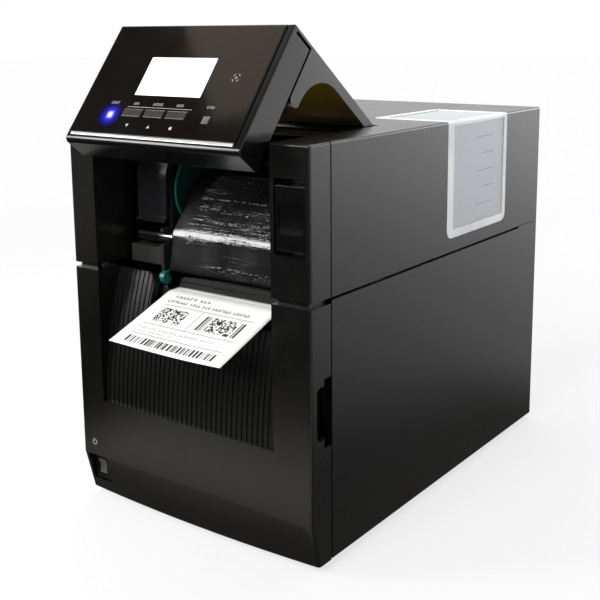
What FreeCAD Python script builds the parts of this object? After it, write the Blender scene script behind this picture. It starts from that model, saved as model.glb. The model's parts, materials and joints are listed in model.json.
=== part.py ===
import FreeCAD, Part
import math
import os

V = FreeCAD.Vector
X_AXIS = V(1, 0, 0)
Y_AXIS = V(0, 1, 0)
Z_AXIS = V(0, 0, 1)

# Every size is in millimetres. The pieces are drawn with X to the right, Y back from the
# housing's front face and Z up from its lower edge, and are moved to the final origin last.

# Housing
housing_width = 238.0
housing_depth = 380.0
housing_height = 309.2
foot_height = 6.0
cover_wall = 3.0
corner_radius = 2.5
roof_edge_radius = 1.8
fit = 0.1
running_fit = 0.05
body_gap = 0.4
left_column_width = 27.0
right_column_width = 34.0
strip_depth = 24.6
strip_seam = 1.4
strip_groove_depth = 2.0
half_width = housing_width / 2
bay_left = -half_width + left_column_width
bay_right = half_width - right_column_width

# Seam between the lower covers and the lifting cover
door_top = housing_height - 111.8
side_slit = 2.2
column_drop = 2.2
tight_slit = 0.5
tight_length = 43.0
lip_thickness = 1.5

# Lower front cover
undercut_height = 35.0
undercut_at_ends = 9.2
undercut_in_middle = 4.8
recess_floor = 85.0
grip_depth = 10.0
grip_front = 7.0
grip_width = 11.0
grip_bottom = 97.0
grip_height = 40.0
notch_bottom = 90.0
notch_height = 52.0
pocket_wall = 2.0

# Power switch pocket, bezel and rocker
switch_left = 4.5
switch_width = 22.5
switch_bottom = 9.5
switch_height = 24.5
switch_depth = 11.0
bezel_flange = 3.0
bezel_margin = 1.2
bezel_body_depth = 14.0
bezel_wall = 1.5
rocker_width = 9.0
rocker_half_height = 6.8
rocker_rise = 6.0
rocker_dip = 4.4
rocker_back = 2.5
rocker_pivot_depth = 3.0
rocker_shift = 2.6
rocker_pin_radius = 1.2
rocker_tilt = 8.0

# Ribbed plate in the lower recess
plate_bottom_y = 3.5
plate_middle_y = 9.0
plate_middle_z = door_top - 61.4
plate_top_y = 24.5
plate_top_z = door_top - 3.4
plate_thickness = 2.5
rib_pitch = 5.0
rib_width = 1.6
rib_height = 0.8
low_plate_top = door_top - 29.4
bump_right = -half_width + 68.0
bump_side_depth = 7.0
bump_corner = 10.0

# Chassis and centre frame
floor_thickness = 1.5
floor_front = 12.6
floor_margin = 4.0
flange_height = 15.0
front_flange_height = 6.0
frame_x = -half_width + 64.0
frame_thickness = 3.0
frame_right = frame_x + frame_thickness
frame_front = 35.2
frame_step_z = door_top + 30.6
frame_step_y = 46.0
frame_top = housing_height - 14.2
frame_top_front = 85.0
frame_top_rear = housing_depth - 35.0
frame_rear = housing_depth - 6.0
frame_rear_z = door_top + 7.6
frame_foot_width = 12.0
wiring_slot_length = 38.0
board_post_radius = 3.0
outer_plate_x = bay_right - 5.0
outer_plate_thickness = 2.0
outer_plate_rear = 122.0
outer_plate_top = door_top + 38.6
outer_plate_shoulder = 104.0
outer_plate_top_rear = 60.0
outer_leg_rear = 62.0
outer_leg_foot = 12.0
outer_leg_top = door_top - 47.4
foot_radius = 9.0
foot_inset_x = 23.0
foot_inset_front = 34.0
foot_inset_rear = 34.0
screw_radius = 2.0
screw_head_radius = 3.8
screw_head_height = 2.2
screw_inset = 8.0

# Side door and its hinge
door_front_gap = 1.4
door_bottom = 0.6
door_axis_in = 8.0
door_lug_radius = 4.2
door_lug_height = 12.0
door_pin_radius = 2.5
door_flange_width = 16.0
lower_lug_z = 14.0
upper_lug_z = door_top - 25.4
bracket_thickness = 3.0
bracket_foot = 20.0
door_lip = 13.0
door_lip_thickness = 2.0
door_lip_bottom = 40.0
door_lip_top = door_top - 9.4
door_rib_height = 2.0
door_rib_width = 1.6
door_rib_count = 5

# Rear cover, ports and inlet
vent_count = 9
vent_pitch = 9.0
vent_width = 3.5
vent_height = 60.0
vent_bottom = 70.0
inlet_x = -half_width + 35.0
inlet_z = 30.0
inlet_width = 27.0
inlet_height = 20.0
inlet_depth = 22.0
inlet_flange = 4.0
inlet_flange_thickness = 2.0
inlet_wall = 2.0
inlet_pin_width = 2.0
inlet_pin_height = 4.0
inlet_pin_pitch = 7.0
inlet_pin_rise = 3.0
port_width = 15.0
port_depth = 16.0
port_proud = 0.6
socket_depth = 10.0

# Circuit boards and supply
board_thickness = 1.6
board_standoff = 5.4
board_front = 150.0
board_rear = housing_depth - 28.0
board_bottom = 70.0
board_top = door_top - 11.4
chip_height = 3.0
supply_front = 120.0
supply_length = 130.0
supply_left = 7.0
supply_width = 43.0
supply_height = 54.0

# Platen, feed gears and feed motor
label_left = frame_right + 11.0
label_width = outer_plate_x - frame_right - 22.0
label_right = label_left + label_width
platen_y = 44.0
platen_z = door_top - 25.8
platen_radius = 8.0
platen_shaft_radius = 3.0
platen_left = frame_right + 6.0
platen_right = outer_plate_x - 8.0
bearing_radius = 5.5
gear_module = 1.0
gear_width = 6.0
gear_standoff = 5.0
platen_teeth = 32
idler_teeth = 24
pinion_teeth = 16
idler_angle = -40.0
pinion_angle = -30.0
stud_radius = 3.0
tooth_backlash = 0.22
pressure_angle = 20.0
motor_size = 42.0
motor_length = 38.0
motor_shaft_radius = 2.5
motor_shaft_tail = 10.0
motor_standoff_radius = 3.0
motor_bolt_pitch = 31.0
motor_posts = ((1, 1), (1, -1), (-1, -1))

# Media path
web_thickness = 0.2
web_lift = 0.35
web_crest_y = 104.0
web_crest_radius = 12.0
tear_bar_front = 31.5
tear_bar_height = 8.4
tear_bar_drop = 0.2
feed_plate_gap = 0.8
feed_plate_rear = 96.0
feed_plate_height = 8.0
label_bend_y = 31.0
label_tip_y = -38.0
label_tip_z = platen_z - 16.6
label_bend_radius = 14.0
roll_front = 172.0
roll_rear_gap = 28.0
roll_z = door_top - 47.4
roll_radius = (housing_depth - roll_rear_gap - roll_front) / 2
roll_y = roll_front + roll_radius
core_radius = 20.0
hub_radius = 19.9
hub_wall = 3.0
hub_spokes = 3
media_shaft_radius = 6.0
media_shaft_end = half_width - 19.0
media_shaft_flange_radius = 22.0
media_shaft_flange = 3.0
media_flange_radius = 42.0
media_flange_thickness = 3.0
media_collar_length = 8.0
media_collar_radius = 11.0
tension_bar_radius = 5.8
tension_bar_y = 135.0
guide_rod_y = 104.0
guide_rod_z = platen_z - 11.6
guide_rod_radius = 3.0
guide_hub_radius = 6.0
guide_hub_length = 4.4
guide_blade_thickness = 2.4
guide_blade_front = 62.0
guide_blade_top = platen_z + 13.9

# Ribbon path
film_left = label_left - 4.0
film_width = label_width
film_right = film_left + film_width
film_thickness = 0.15
takeup_y = 80.0
takeup_z = platen_z + 85.4
takeup_roll_radius = 12.0
takeup_flange_radius = 33.0
takeup_flange_thickness = 2.0
spindle_radius = 5.0
clutch_radius = 14.0
spindle_right = outer_plate_x - 6.0
spindle_left = frame_x - 11.0
supply_y = 165.0
supply_z = platen_z + 80.4
supply_roll_radius = 28.0
front_guide_y = 43.0
front_guide_z = platen_z + 48.4
front_guide_radius = 5.0
front_guide_left = -half_width + 36.0
rear_guide_y = 112.0
rear_guide_z = platen_z + 18.4
rear_guide_radius = 4.0
film_bulge_y = 33.3
film_bulge_z = platen_z + 22.9
film_bulge_radius = 10.0
film_nip_radius = 1.5
film_lift_y = 58.0
film_lift_radius = 20.0

# Ribbon drive cover and side block left of the frame
shroud_left = -half_width + 35.0
shroud_right = frame_right - 0.4
shroud_front = 40.0
shroud_lip_front = 37.0
shroud_bottom = takeup_z - 24.0
shroud_top = frame_top + 2.0
shroud_curve = 31.0
shroud_rear = 124.0
shroud_wall = 2.0
block_left = bay_left + 3.0
block_front = 36.0
block_depth = 24.0
block_bottom = door_top - 0.4
block_height = 15.0

# Print head and lever
head_pivot_y = 98.0
head_pivot_z = platen_z + 32.4
head_shaft_radius = 4.0
head_hub_radius = 9.0
head_left = frame_right + 8.0
head_right = outer_plate_x - 8.0
head_front = 39.0
head_bottom_gap = 0.35
head_plate_height = 5.5
head_plate_depth = 18.0
head_block_height = 13.0
head_fin_count = 8
head_fin_width = 3.0
head_fin_height = 4.0
lever_x = frame_right + 1.4
lever_thickness = 4.2
lever_pivot_y = 70.0
lever_pivot_z = platen_z + 31.4
lever_tip_y = 33.0
lever_tip_z = platen_z + 17.4
lever_hub_radius = 6.5
lever_tip_radius = 5.2
lever_arm_half = 3.0
lever_stud_radius = 3.0

# Lifting cover, its window, hinge and latch
window_front = 194.5
window_length = 111.0
window_bottom = door_top + 13.6
window_roof_left = half_width - 74.0
window_corner = 8.0
window_thickness = 2.8
window_border_front = 10.5
window_border_rear = 5.5
window_border_low = 7.0
window_border_high = 4.0
window_recess = 0.9
window_flange = 4.0
window_flange_thickness = 1.2
cover_hinge_out = 4.6
cover_hinge_offset = half_width - 59.0
cover_hinge_width = 50.0
cover_knuckle_radius = 4.1
cover_knuckle_width = 17.2
cover_pin_radius = 2.0
cover_leaf_height = 26.0
cover_leaf_thickness = 2.0
leaf_relief = 4.6
button_recess_left = bay_right + 3.5
button_recess_width = 27.0
button_recess_bottom = housing_height - 78.2
button_recess_top = housing_height - 23.7
button_recess_depth = 9.4
button_width = 25.4
button_bottom = button_recess_bottom + 3.5
button_height = 46.0
button_front = 0.6
button_thickness = 5.4
button_dish_radius = 60.0
button_dish_depth = 1.2
button_rod_radius = 3.0
button_rod_z = button_bottom + 23.0
button_rod_end = 20.0
latch_pivot_y = 24.0
latch_pivot_z = button_rod_z - 25.0
latch_left = bay_right + 12.0
latch_width = 8.0
latch_hub_radius = 5.0
latch_pin_radius = 2.0
latch_gap = 0.35
latch_arm_width = 5.0
latch_tooth_height = 4.0
latch_slot_front = 7.5
latch_slot_rear = 20.5

# Hood with the operator panel, drawn closed and turned up last
hood_open_angle = 37.7
hood_left = bay_left + 2.0
hood_right = bay_right - 3.0
hood_face_y = 5.5
hood_axis_y = 137.0
hood_tube_radius = 4.7
hood_sheet = 2.0
hood_web = 3.0
hood_stub_radius = 2.0
hinge_wall_gap = 0.5
hinge_wall_bottom = housing_height - 13.2
panel_height = 104.0
panel_depth = 24.0
panel_chin = 3.0
chin_radius = 4.4
bezel_depth = 4.8
shadow_gap = 2.5
shadow_inset = 9.0
panel_wall = 3.0
front_skin = 1.0
web_front = 26.0
web_tip_radius = 5.75
web_tip_v = 42.2
arch_radius = 32.5
band_height = 8.0
side_boss_u = 12.0
side_boss_v = 99.0
side_boss_size = 4.0
side_boss_height = 1.5
glass_left = hood_left + 2.0
glass_right = hood_right - 8.0
glass_bottom = 5.2
glass_top = 102.8
glass_thickness = 1.9
glass_seat = 2.0
groove_x = hood_right - 6.6
groove_width = 1.6
groove_depth = 1.2
strip_left = hood_left + 4.0
strip_right = hood_right - 7.0
strip_bottom = 2.2
strip_top = 4.6
strip_proud = 0.4
strip_seat = 1.2
screen_left = -39.0
screen_right = 26.0
screen_bottom = 40.0
screen_top = 74.0
screen_body_margin = 4.0
screen_body_depth = 5.4
board_depth_in_panel = 14.0
key_first_x = -31.8
key_pitch = 21.9
key_width = 18.6
key_bottom = 20.4
key_height = 6.6
key_proud = 1.0
key_thickness = 2.1
key_gap = 0.35
key_stem_half = 3.0
key_stem_end = 12.8
lens_width = 6.0
lens_height = 6.0
power_lens_x = -54.0
error_lens_x = 41.0
lens_s = 21.5
lens_proud = 0.2

upper_bottom = door_top + side_slit
column_top = door_top - column_drop
tight_top = upper_bottom - tight_slit
tight_front = housing_depth - tight_length
roof_inside = housing_height - cover_wall
hood_axis_z = housing_height - hood_tube_radius
hood_bay_rear = hood_axis_y + hood_tube_radius + hinge_wall_gap
cover_axis_y = housing_depth + cover_hinge_out
cover_axis_z = upper_bottom - 1.0
web_z = platen_z + platen_radius + web_lift
film_z = web_z + web_thickness + 0.05 + film_thickness
outer_plate_right = outer_plate_x + outer_plate_thickness
pocket_left = -half_width + switch_left
pocket_right = pocket_left + switch_width
pocket_top = switch_bottom + switch_height
rocker_x = (pocket_left + pocket_right) / 2 - rocker_shift
rocker_y = switch_depth + rocker_pivot_depth
rocker_z = switch_bottom + switch_height / 2
door_axis_x = half_width - door_axis_in
door_axis_y = housing_depth - door_axis_in
rear_cover_left = -half_width + door_flange_width + 0.5
rear_cover_right = (door_axis_x - body_gap
                    - math.hypot(door_flange_width - door_axis_in, door_axis_in))
panel_bottom_z = housing_height - panel_height
panel_back_y = hood_face_y + panel_depth
gear_right = frame_x - gear_standoff
gear_left = gear_right - gear_width
port_right = frame_x - board_standoff - board_thickness
origin_shift_y = -(cover_axis_y + cover_knuckle_radius + label_tip_y) / 2


def box(x0, x1, y0, y1, z0, z1):
    return Part.makeBox(x1 - x0, y1 - y0, z1 - z0, V(x0, y0, z0))


def rod_x(radius, x0, x1, y, z):
    return Part.makeCylinder(radius, x1 - x0, V(x0, y, z), X_AXIS)


def rod_y(radius, y0, y1, x, z):
    return Part.makeCylinder(radius, y1 - y0, V(x, y0, z), Y_AXIS)


def rod_z(radius, z0, z1, x, y):
    return Part.makeCylinder(radius, z1 - z0, V(x, y, z0), Z_AXIS)


def join(shapes):
    """One shape made of all the given ones."""
    whole = shapes[0]
    if len(shapes) > 1:
        whole = whole.multiFuse(shapes[1:])
    return whole.removeSplitter()


def prism_x(points, x0, x1):
    """A polygon of (y, z) points drawn out along X."""
    corners = [V(x0, y, z) for y, z in points]
    wire = Part.makePolygon(corners + [corners[0]])
    return Part.Face(wire).extrude(V(x1 - x0, 0, 0))


def round_edges(shape, radius, chosen):
    """The shape with a fillet on each edge whose bounding box passes the test."""
    edges = [edge for edge in shape.Edges if chosen(edge.BoundBox)]
    return shape.makeFillet(radius, edges)


def near(a, b):
    return abs(a - b) < 0.01


def slab_x(x0, x1, y0, y1, z0, z1, radius):
    """A box with its four edges along X rounded."""
    def along_x(edge):
        return edge.XLength > 0.5 * (x1 - x0)
    return round_edges(box(x0, x1, y0, y1, z0, z1), radius, along_x)


def slab_y(x0, x1, y0, y1, z0, z1, radius):
    """A box with its four edges along Y rounded."""
    def along_y(edge):
        return edge.YLength > 0.5 * (y1 - y0) and edge.XLength < 0.01 and edge.ZLength < 0.01
    return round_edges(box(x0, x1, y0, y1, z0, z1), radius, along_y)


def tangent(turn_a, turn_b, shift=0.0):
    """The straight run between two turns of a path, with its left normal.

    A turn is (y, z, radius), the radius positive when the path bends left round it.
    """
    (ya, za, ra), (yb, zb, rb) = turn_a, turn_b
    across = math.hypot(yb - ya, zb - za)
    angle = math.atan2(zb - za, yb - ya) - math.asin((rb - ra) / across)
    normal = (-math.sin(angle), math.cos(angle))
    start = (ya - (ra - shift) * normal[0], za - (ra - shift) * normal[1])
    end = (yb - (rb - shift) * normal[0], zb - (rb - shift) * normal[1])
    return start, end, normal


def path_edges(turns, shift, x):
    """Straight runs and arcs along the turns, moved to the left by the shift."""
    runs = [tangent(a, b, shift) for a, b in zip(turns, turns[1:])]
    edges = [Part.LineSegment(V(x, *runs[0][0]), V(x, *runs[0][1])).toShape()]
    for before, after, (y, z, radius) in zip(runs, runs[1:], turns[1:-1]):
        my = before[2][0] + after[2][0]
        mz = before[2][1] + after[2][1]
        reach = (radius - shift) / math.hypot(my, mz)
        middle = V(x, y - reach * my, z - reach * mz)
        edges.append(Part.Arc(V(x, *before[1]), middle, V(x, *after[0])).toShape())
        edges.append(Part.LineSegment(V(x, *after[0]), V(x, *after[1])).toShape())
    return edges, runs[0][0], runs[-1][1]


def strip(turns, thickness, x0, x1):
    """A thin strip along a path in the YZ plane, thickened to the path's right."""
    near_edges, near_start, near_end = path_edges(turns, 0.0, x0)
    far_edges, far_start, far_end = path_edges(turns, -thickness, x0)
    end_cap = Part.LineSegment(V(x0, *near_end), V(x0, *far_end)).toShape()
    start_cap = Part.LineSegment(V(x0, *far_start), V(x0, *near_start)).toShape()
    wire = Part.Wire(near_edges + [end_cap] + far_edges[::-1] + [start_cap])
    return Part.Face(wire).extrude(V(x1 - x0, 0, 0))


def spur_gear(teeth, phase, x0, x1, y, z, bore):
    """A straight-toothed gear about X, with its first tooth at the phase angle."""
    pitch_radius = gear_module * teeth / 2
    tip = pitch_radius + 0.9 * gear_module
    root = pitch_radius - 1.15 * gear_module
    half_tooth = math.pi * gear_module / 4 - tooth_backlash / 2
    slope = math.tan(math.radians(pressure_angle))
    at_tip = (half_tooth - slope * (tip - pitch_radius)) / tip
    at_root = (half_tooth + slope * (pitch_radius - root)) / root
    corners = []
    for index in range(teeth):
        middle = math.radians(phase + 360.0 * index / teeth)
        for radius, offset in ((root, -at_root), (tip, -at_tip), (tip, at_tip), (root, at_root)):
            corners.append((y + radius * math.cos(middle + offset),
                            z + radius * math.sin(middle + offset)))
    blank = prism_x(corners, x0, x1)
    return blank.cut(rod_x(bore, x0 - 1, x1 + 1, y, z))


def front_outline(height, inset, back):
    """The lower front cover's plan outline at a height, set in by a wall."""
    rise = min(height / undercut_height, 1.0)
    end_y = undercut_at_ends * (1 - rise) + inset
    middle_y = undercut_in_middle * (1 - rise) + inset
    x = half_width - inset
    r = corner_radius if inset == 0 else 1.0
    k = r * (1 - math.sqrt(0.5))
    left = [V(-x, back, height), V(-x, end_y + r, height), V(-x + k, end_y + k, height),
            V(-x + r, end_y, height)]
    right = [V(x - r, end_y, height), V(x - k, end_y + k, height), V(x, end_y + r, height),
             V(x, back, height)]
    if rise < 1.0:
        front = Part.Arc(left[3], V(0, middle_y, height), right[0]).toShape()
    else:
        front = Part.LineSegment(left[3], right[0]).toShape()
    return Part.Wire([
        Part.LineSegment(left[0], left[1]).toShape(),
        Part.Arc(left[1], left[2], left[3]).toShape(),
        front,
        Part.Arc(right[0], right[1], right[2]).toShape(),
        Part.LineSegment(right[2], right[3]).toShape(),
        Part.LineSegment(right[3], left[0]).toShape(),
    ])


def front_block(inset, back, top):
    """The solid inside the front outline, from the lower edge up to a height."""
    low = front_outline(0.0, inset, back)
    crease = front_outline(undercut_height, inset, back)
    foot = Part.makeLoft([low, crease], True, True)
    body = Part.Face(crease).extrude(V(0, 0, top - undercut_height))
    return foot.fuse(body).removeSplitter()


def front_cover():
    shell = front_block(0.0, strip_depth, column_top)
    inside = front_block(cover_wall, strip_depth + 1, recess_floor - cover_wall)
    ceiling = column_top - cover_wall
    for x0, x1 in ((-half_width + cover_wall, bay_left - cover_wall),
                   (bay_right + cover_wall, half_width - cover_wall)):
        inside = inside.fuse(box(x0, x1, cover_wall, strip_depth + 1,
                                 recess_floor - cover_wall - 1, ceiling))
    grip_block = box(half_width - grip_depth - pocket_wall, half_width, grip_front - pocket_wall,
                     strip_depth + 1, notch_bottom - pocket_wall,
                     notch_bottom + notch_height + pocket_wall)
    pocket_block = box(-half_width, pocket_right + pocket_wall, -1, switch_depth + pocket_wall,
                       switch_bottom - pocket_wall, pocket_top + pocket_wall)
    inside = inside.cut(grip_block).cut(pocket_block)
    shell = shell.cut(inside)
    shell = shell.cut(box(bay_left, bay_right, -1, strip_depth + 1, recess_floor, column_top + 1))
    grip = slab_x(half_width - grip_depth, half_width + 1, grip_front, grip_front + grip_width,
                  grip_bottom, grip_bottom + grip_height, 5.0)
    notch = box(half_width - grip_depth, half_width + 1, grip_front + grip_width - 2.0,
                strip_depth + 1, notch_bottom, notch_bottom + notch_height)
    shell = shell.cut(grip).cut(notch)
    pocket = slab_y(pocket_left, pocket_right, -1, switch_depth, switch_bottom, pocket_top, 1.5)
    body_hole = switch_body_hole(fit)
    shell = shell.cut(pocket).cut(body_hole)
    shell = shell.cut(box(latch_left - 1, latch_left + latch_width + 1, latch_slot_front,
                          latch_slot_rear, ceiling - 1, column_top + 1))
    return join([shell] + column_lips())


def column_lips():
    """The tongues that close the gap under the lifting cover's two columns."""
    gap = 1.0
    base = column_top - 0.5
    top = upper_bottom + 4.0
    lips = []
    for x0, x1, side in ((-half_width + cover_wall + gap, bay_left - cover_wall - gap, 1),
                         (bay_right + cover_wall + gap, half_width - cover_wall - gap, -1)):
        front = box(x0, x1, cover_wall + gap, cover_wall + gap + lip_thickness, base, top)
        outer = x0 if side > 0 else x1 - lip_thickness
        flank = box(outer, outer + lip_thickness, cover_wall + gap, strip_depth, base, top)
        lips.append(front.fuse(flank))
    return lips


def switch_body_hole(clearance):
    """The hole through the pocket's back wall for the switch body."""
    half_x = rocker_width / 2 + 0.6 + bezel_wall + clearance
    half_z = rocker_half_height + 1.4 + bezel_wall + clearance
    x = rocker_x
    return box(x - half_x, x + half_x, switch_depth - 1, switch_depth + pocket_wall + 1,
               rocker_z - half_z, rocker_z + half_z)


def power_switch_bezel():
    x = rocker_x
    flange = slab_y(pocket_left + bezel_margin, pocket_right - bezel_margin,
                    switch_depth - bezel_flange, switch_depth,
                    switch_bottom + 1, pocket_top - 1, 1.0)
    inner_x = rocker_width / 2 + 0.6
    inner_z = rocker_half_height + 1.4
    body = box(x - inner_x - bezel_wall, x + inner_x + bezel_wall, switch_depth,
               switch_depth + bezel_body_depth, rocker_z - inner_z - bezel_wall,
               rocker_z + inner_z + bezel_wall)
    hollow = box(x - inner_x, x + inner_x, switch_depth - bezel_flange - 1,
                 switch_depth + bezel_body_depth - bezel_wall, rocker_z - inner_z,
                 rocker_z + inner_z)
    bezel = join([flange, body]).cut(hollow)
    return bezel.cut(rod_x(rocker_pin_radius + running_fit, x - inner_x - bezel_wall - 1,
                           x + inner_x + bezel_wall + 1, rocker_y, rocker_z))


def power_switch_rocker():
    x = rocker_x
    profile = [(-rocker_rise, rocker_half_height), (-rocker_dip, 0.0),
               (-rocker_rise, -rocker_half_height), (rocker_back, -rocker_half_height + 2),
               (rocker_back, rocker_half_height - 2)]
    points = [(rocker_y + y, rocker_z + z) for y, z in profile]
    cap = prism_x(points, x - rocker_width / 2, x + rocker_width / 2)
    pin_half = rocker_width / 2 + 0.6 + bezel_wall - 0.1
    rocker = join([cap, rod_x(rocker_pin_radius, x - pin_half, x + pin_half, rocker_y, rocker_z)])
    rocker.rotate(V(x, rocker_y, rocker_z), X_AXIS, rocker_tilt)
    return rocker


def plate_profile(proud, depth):
    """The leaning curve of the ribbed plate as a closed outline in the YZ plane."""
    def arc(shift):
        return Part.Arc(V(0, plate_bottom_y + shift, recess_floor),
                        V(0, plate_middle_y + shift, plate_middle_z),
                        V(0, plate_top_y + shift, plate_top_z))
    front = arc(-proud).toShape()
    back = arc(depth).toShape()
    a, b = front.Vertexes[0].Point, front.Vertexes[1].Point
    c, d = back.Vertexes[0].Point, back.Vertexes[1].Point
    wire = Part.Wire(Part.__sortEdges__([front, back, Part.LineSegment(b, d).toShape(),
                                         Part.LineSegment(a, c).toShape()]))
    return Part.Face(wire)


def profile_between(proud, depth, x0, x1):
    face = plate_profile(proud, depth)
    face.translate(V(x0, 0, 0))
    return face.extrude(V(x1 - x0, 0, 0))


def ribbed_front_plate():
    left, right = bay_left + fit, bay_right - fit
    pieces = [profile_between(0.0, plate_thickness, left, right)]
    count = int((right - left) / rib_pitch)
    first = (left + right) / 2 - rib_pitch * (count - 1) / 2
    for index in range(count):
        x = first + rib_pitch * index
        pieces.append(profile_between(rib_height, plate_thickness / 2,
                                      x - rib_width / 2, x + rib_width / 2))
    side = profile_between(0.0, bump_side_depth, bump_right - plate_thickness, bump_right)
    pieces.append(side)
    plate = join(pieces)
    depth_range = (-5.0, frame_front + 20)
    window = box(bump_right, right + 1, *depth_range, low_plate_top, plate_top_z + 5)
    corner = box(bump_right - bump_corner, bump_right + 1, *depth_range,
                 plate_top_z - bump_corner, plate_top_z + 5)
    corner = corner.cut(rod_y(bump_corner, depth_range[0] - 1, depth_range[1] + 1,
                              bump_right - bump_corner, plate_top_z - bump_corner))
    return plate.cut(window).cut(corner)


def base_chassis():
    side = half_width - floor_margin
    rear = housing_depth - cover_wall - 1.0
    floor = box(-side, side, floor_front, rear, 0, floor_thickness)
    front = box(-side, side, floor_front, floor_front + floor_thickness, 0, front_flange_height)
    back = box(rear_cover_left, rear_cover_right - bracket_foot - 5, rear - floor_thickness, rear,
               0, flange_height)
    left = box(-side, -side + floor_thickness, strip_depth, rear, 0, flange_height)
    right = box(side - floor_thickness, side, strip_depth, door_axis_y - 20, 0, flange_height)
    tray = join([floor, front, back, left, right])
    corner = box(door_axis_x - 12, side + 1, door_axis_y - 12, rear + 1, -1, flange_height + 1)
    return tray.cut(corner)


def foot_places():
    x = half_width - foot_inset_x
    return [(sx * x, y) for sx in (-1, 1)
            for y in (foot_inset_front, housing_depth - foot_inset_rear)]


def rubber_feet():
    feet = []
    for x, y in foot_places():
        cone = Part.makeCone(foot_radius - 1.0, foot_radius, foot_height, V(x, y, -foot_height))
        feet.append(cone)
    return Part.makeCompound(feet)


def frame_outline():
    return [(frame_front, floor_thickness), (frame_rear, floor_thickness),
            (frame_rear, frame_rear_z), (frame_top_rear, frame_top), (frame_top_front, frame_top),
            (frame_step_y, shroud_bottom + 30), (frame_step_y, frame_step_z),
            (frame_front, frame_step_z)]


def centre_frame():
    plate = prism_x(frame_outline(), frame_x, frame_right)
    flange = box(frame_x - frame_foot_width, frame_x + 1, board_front - 20, frame_rear - 10, floor_thickness,
                 2 * floor_thickness)
    pieces = [plate, flange]
    for y in (board_front + 8, board_rear - 8):
        for z in (board_bottom + 8, board_top - 8):
            pieces.append(rod_x(board_post_radius, frame_x - board_standoff, frame_x + 1, y, z))
    stud_y, stud_z = idler_centre()
    pieces.append(rod_x(stud_radius, frame_x - gear_standoff - gear_width - 1, frame_x + 1,
                        stud_y, stud_z))
    pieces.append(rod_x(lever_stud_radius, frame_right - 1, lever_x + lever_thickness + 0.4,
                        lever_pivot_y, lever_pivot_z))
    frame = join(pieces)
    for radius, y, z in frame_holes():
        frame = frame.cut(rod_x(radius, frame_x - 20, frame_right + 1, y, z))
    cradle = box(frame_x - 1, frame_right + 1, frame_front - 1, front_guide_y,
                 front_guide_z - front_guide_radius, front_guide_z + front_guide_radius)
    slot = box(frame_x - 1, frame_right + 1, frame_rear - wiring_slot_length - 66,
               frame_rear - 66, 20, 40)
    return frame.cut(cradle).cut(slot)


def frame_holes():
    return [(bearing_radius + running_fit / 5, platen_y, platen_z),
            (spindle_radius + running_fit, takeup_y, takeup_z),
            (spindle_radius + running_fit, supply_y, supply_z),
            (front_guide_radius + running_fit / 5, front_guide_y, front_guide_z)]


def outer_mech_plate():
    head = prism_x([(frame_front, outer_leg_top), (outer_plate_rear, outer_leg_top),
                    (outer_plate_rear, door_top - 1.4),
                    (outer_plate_shoulder, door_top + 16.6),
                    (outer_plate_top_rear, outer_plate_top),
                    (frame_front, outer_plate_top)], outer_plate_x, outer_plate_right)
    leg = box(outer_plate_x, outer_plate_right, frame_front, outer_leg_rear, floor_thickness,
              outer_leg_top + 1)
    foot = box(outer_plate_x - outer_leg_foot, outer_plate_x + 1, frame_front, outer_leg_rear,
               floor_thickness, 2 * floor_thickness)
    plate = join([head, leg, foot])
    for radius, y, z in ((bearing_radius, platen_y, platen_z),
                         (front_guide_radius, front_guide_y, front_guide_z),
                         (rear_guide_radius, rear_guide_y, rear_guide_z),
                         (head_shaft_radius, head_pivot_y, head_pivot_z),
                         (guide_rod_radius, guide_rod_y, guide_rod_z)):
        plate = plate.cut(rod_x(radius + running_fit / 5, outer_plate_x - 1,
                                outer_plate_right + 1, y, z))
    return plate


def side_panel(side):
    """A lower side cover: the door on the right, the fixed cover on the left."""
    outer = half_width
    front = strip_depth + door_front_gap
    low = box(outer - cover_wall, outer, front, housing_depth, door_bottom, door_top)
    rise = box(outer - cover_wall, outer, tight_front, housing_depth, door_top - 1, tight_top)
    back = box(outer - door_flange_width, outer, housing_depth - cover_wall, housing_depth,
               door_bottom, tight_top)
    lip = box(outer - door_lip, outer, front, front + door_lip_thickness, door_lip_bottom,
              door_lip_top)
    panel = join([low, rise, back, lip])

    def rounded(edge):
        upright = edge.ZLength > 0.5 * door_top
        rear_corner = upright and near(edge.XMin, outer) and near(edge.YMin, housing_depth)
        return rear_corner and near(edge.YMax, housing_depth)
    panel = round_edges(panel, corner_radius, rounded)
    ribs = []
    length = housing_depth - front - 60
    for index in range(door_rib_count):
        z = door_bottom + 20 + index * (door_top - 40) / (door_rib_count - 1)
        ribs.append(box(outer - cover_wall - door_rib_height, outer - cover_wall + 0.5,
                        front + 15, front + 15 + length, z, z + door_rib_width))
    panel = join([panel] + ribs)
    if side < 0:
        panel = panel.mirror(V(0, 0, 0), X_AXIS)
    return panel


def side_door():
    door = side_panel(1)
    x, y = door_axis_x, door_axis_y
    lugs = []
    for z in (lower_lug_z, upper_lug_z):
        barrel = rod_z(door_lug_radius, z, z + door_lug_height, x, y)
        arm = box(x, half_width - cover_wall + 0.5, y - door_lug_radius, y + door_lug_radius,
                  z, z + door_lug_height)
        lugs.append(barrel.fuse(arm))
    door = join([door] + lugs)
    for z in (lower_lug_z, upper_lug_z):
        door = door.cut(rod_z(door_pin_radius + running_fit, z - 1, z + door_lug_height + 1, x, y))
    for z in bracket_levels():
        notch = box(half_width - door_flange_width - 1, half_width - cover_wall - body_gap,
                    housing_depth - cover_wall - 1, housing_depth + 1, z - 1,
                    z + bracket_thickness + 1)
        door = door.cut(notch)
    return door


def bracket_levels():
    """Where the fixed brackets lie: below the lower lug and above the upper one."""
    return (lower_lug_z - body_gap - bracket_thickness,
            upper_lug_z + door_lug_height + body_gap)


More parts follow.
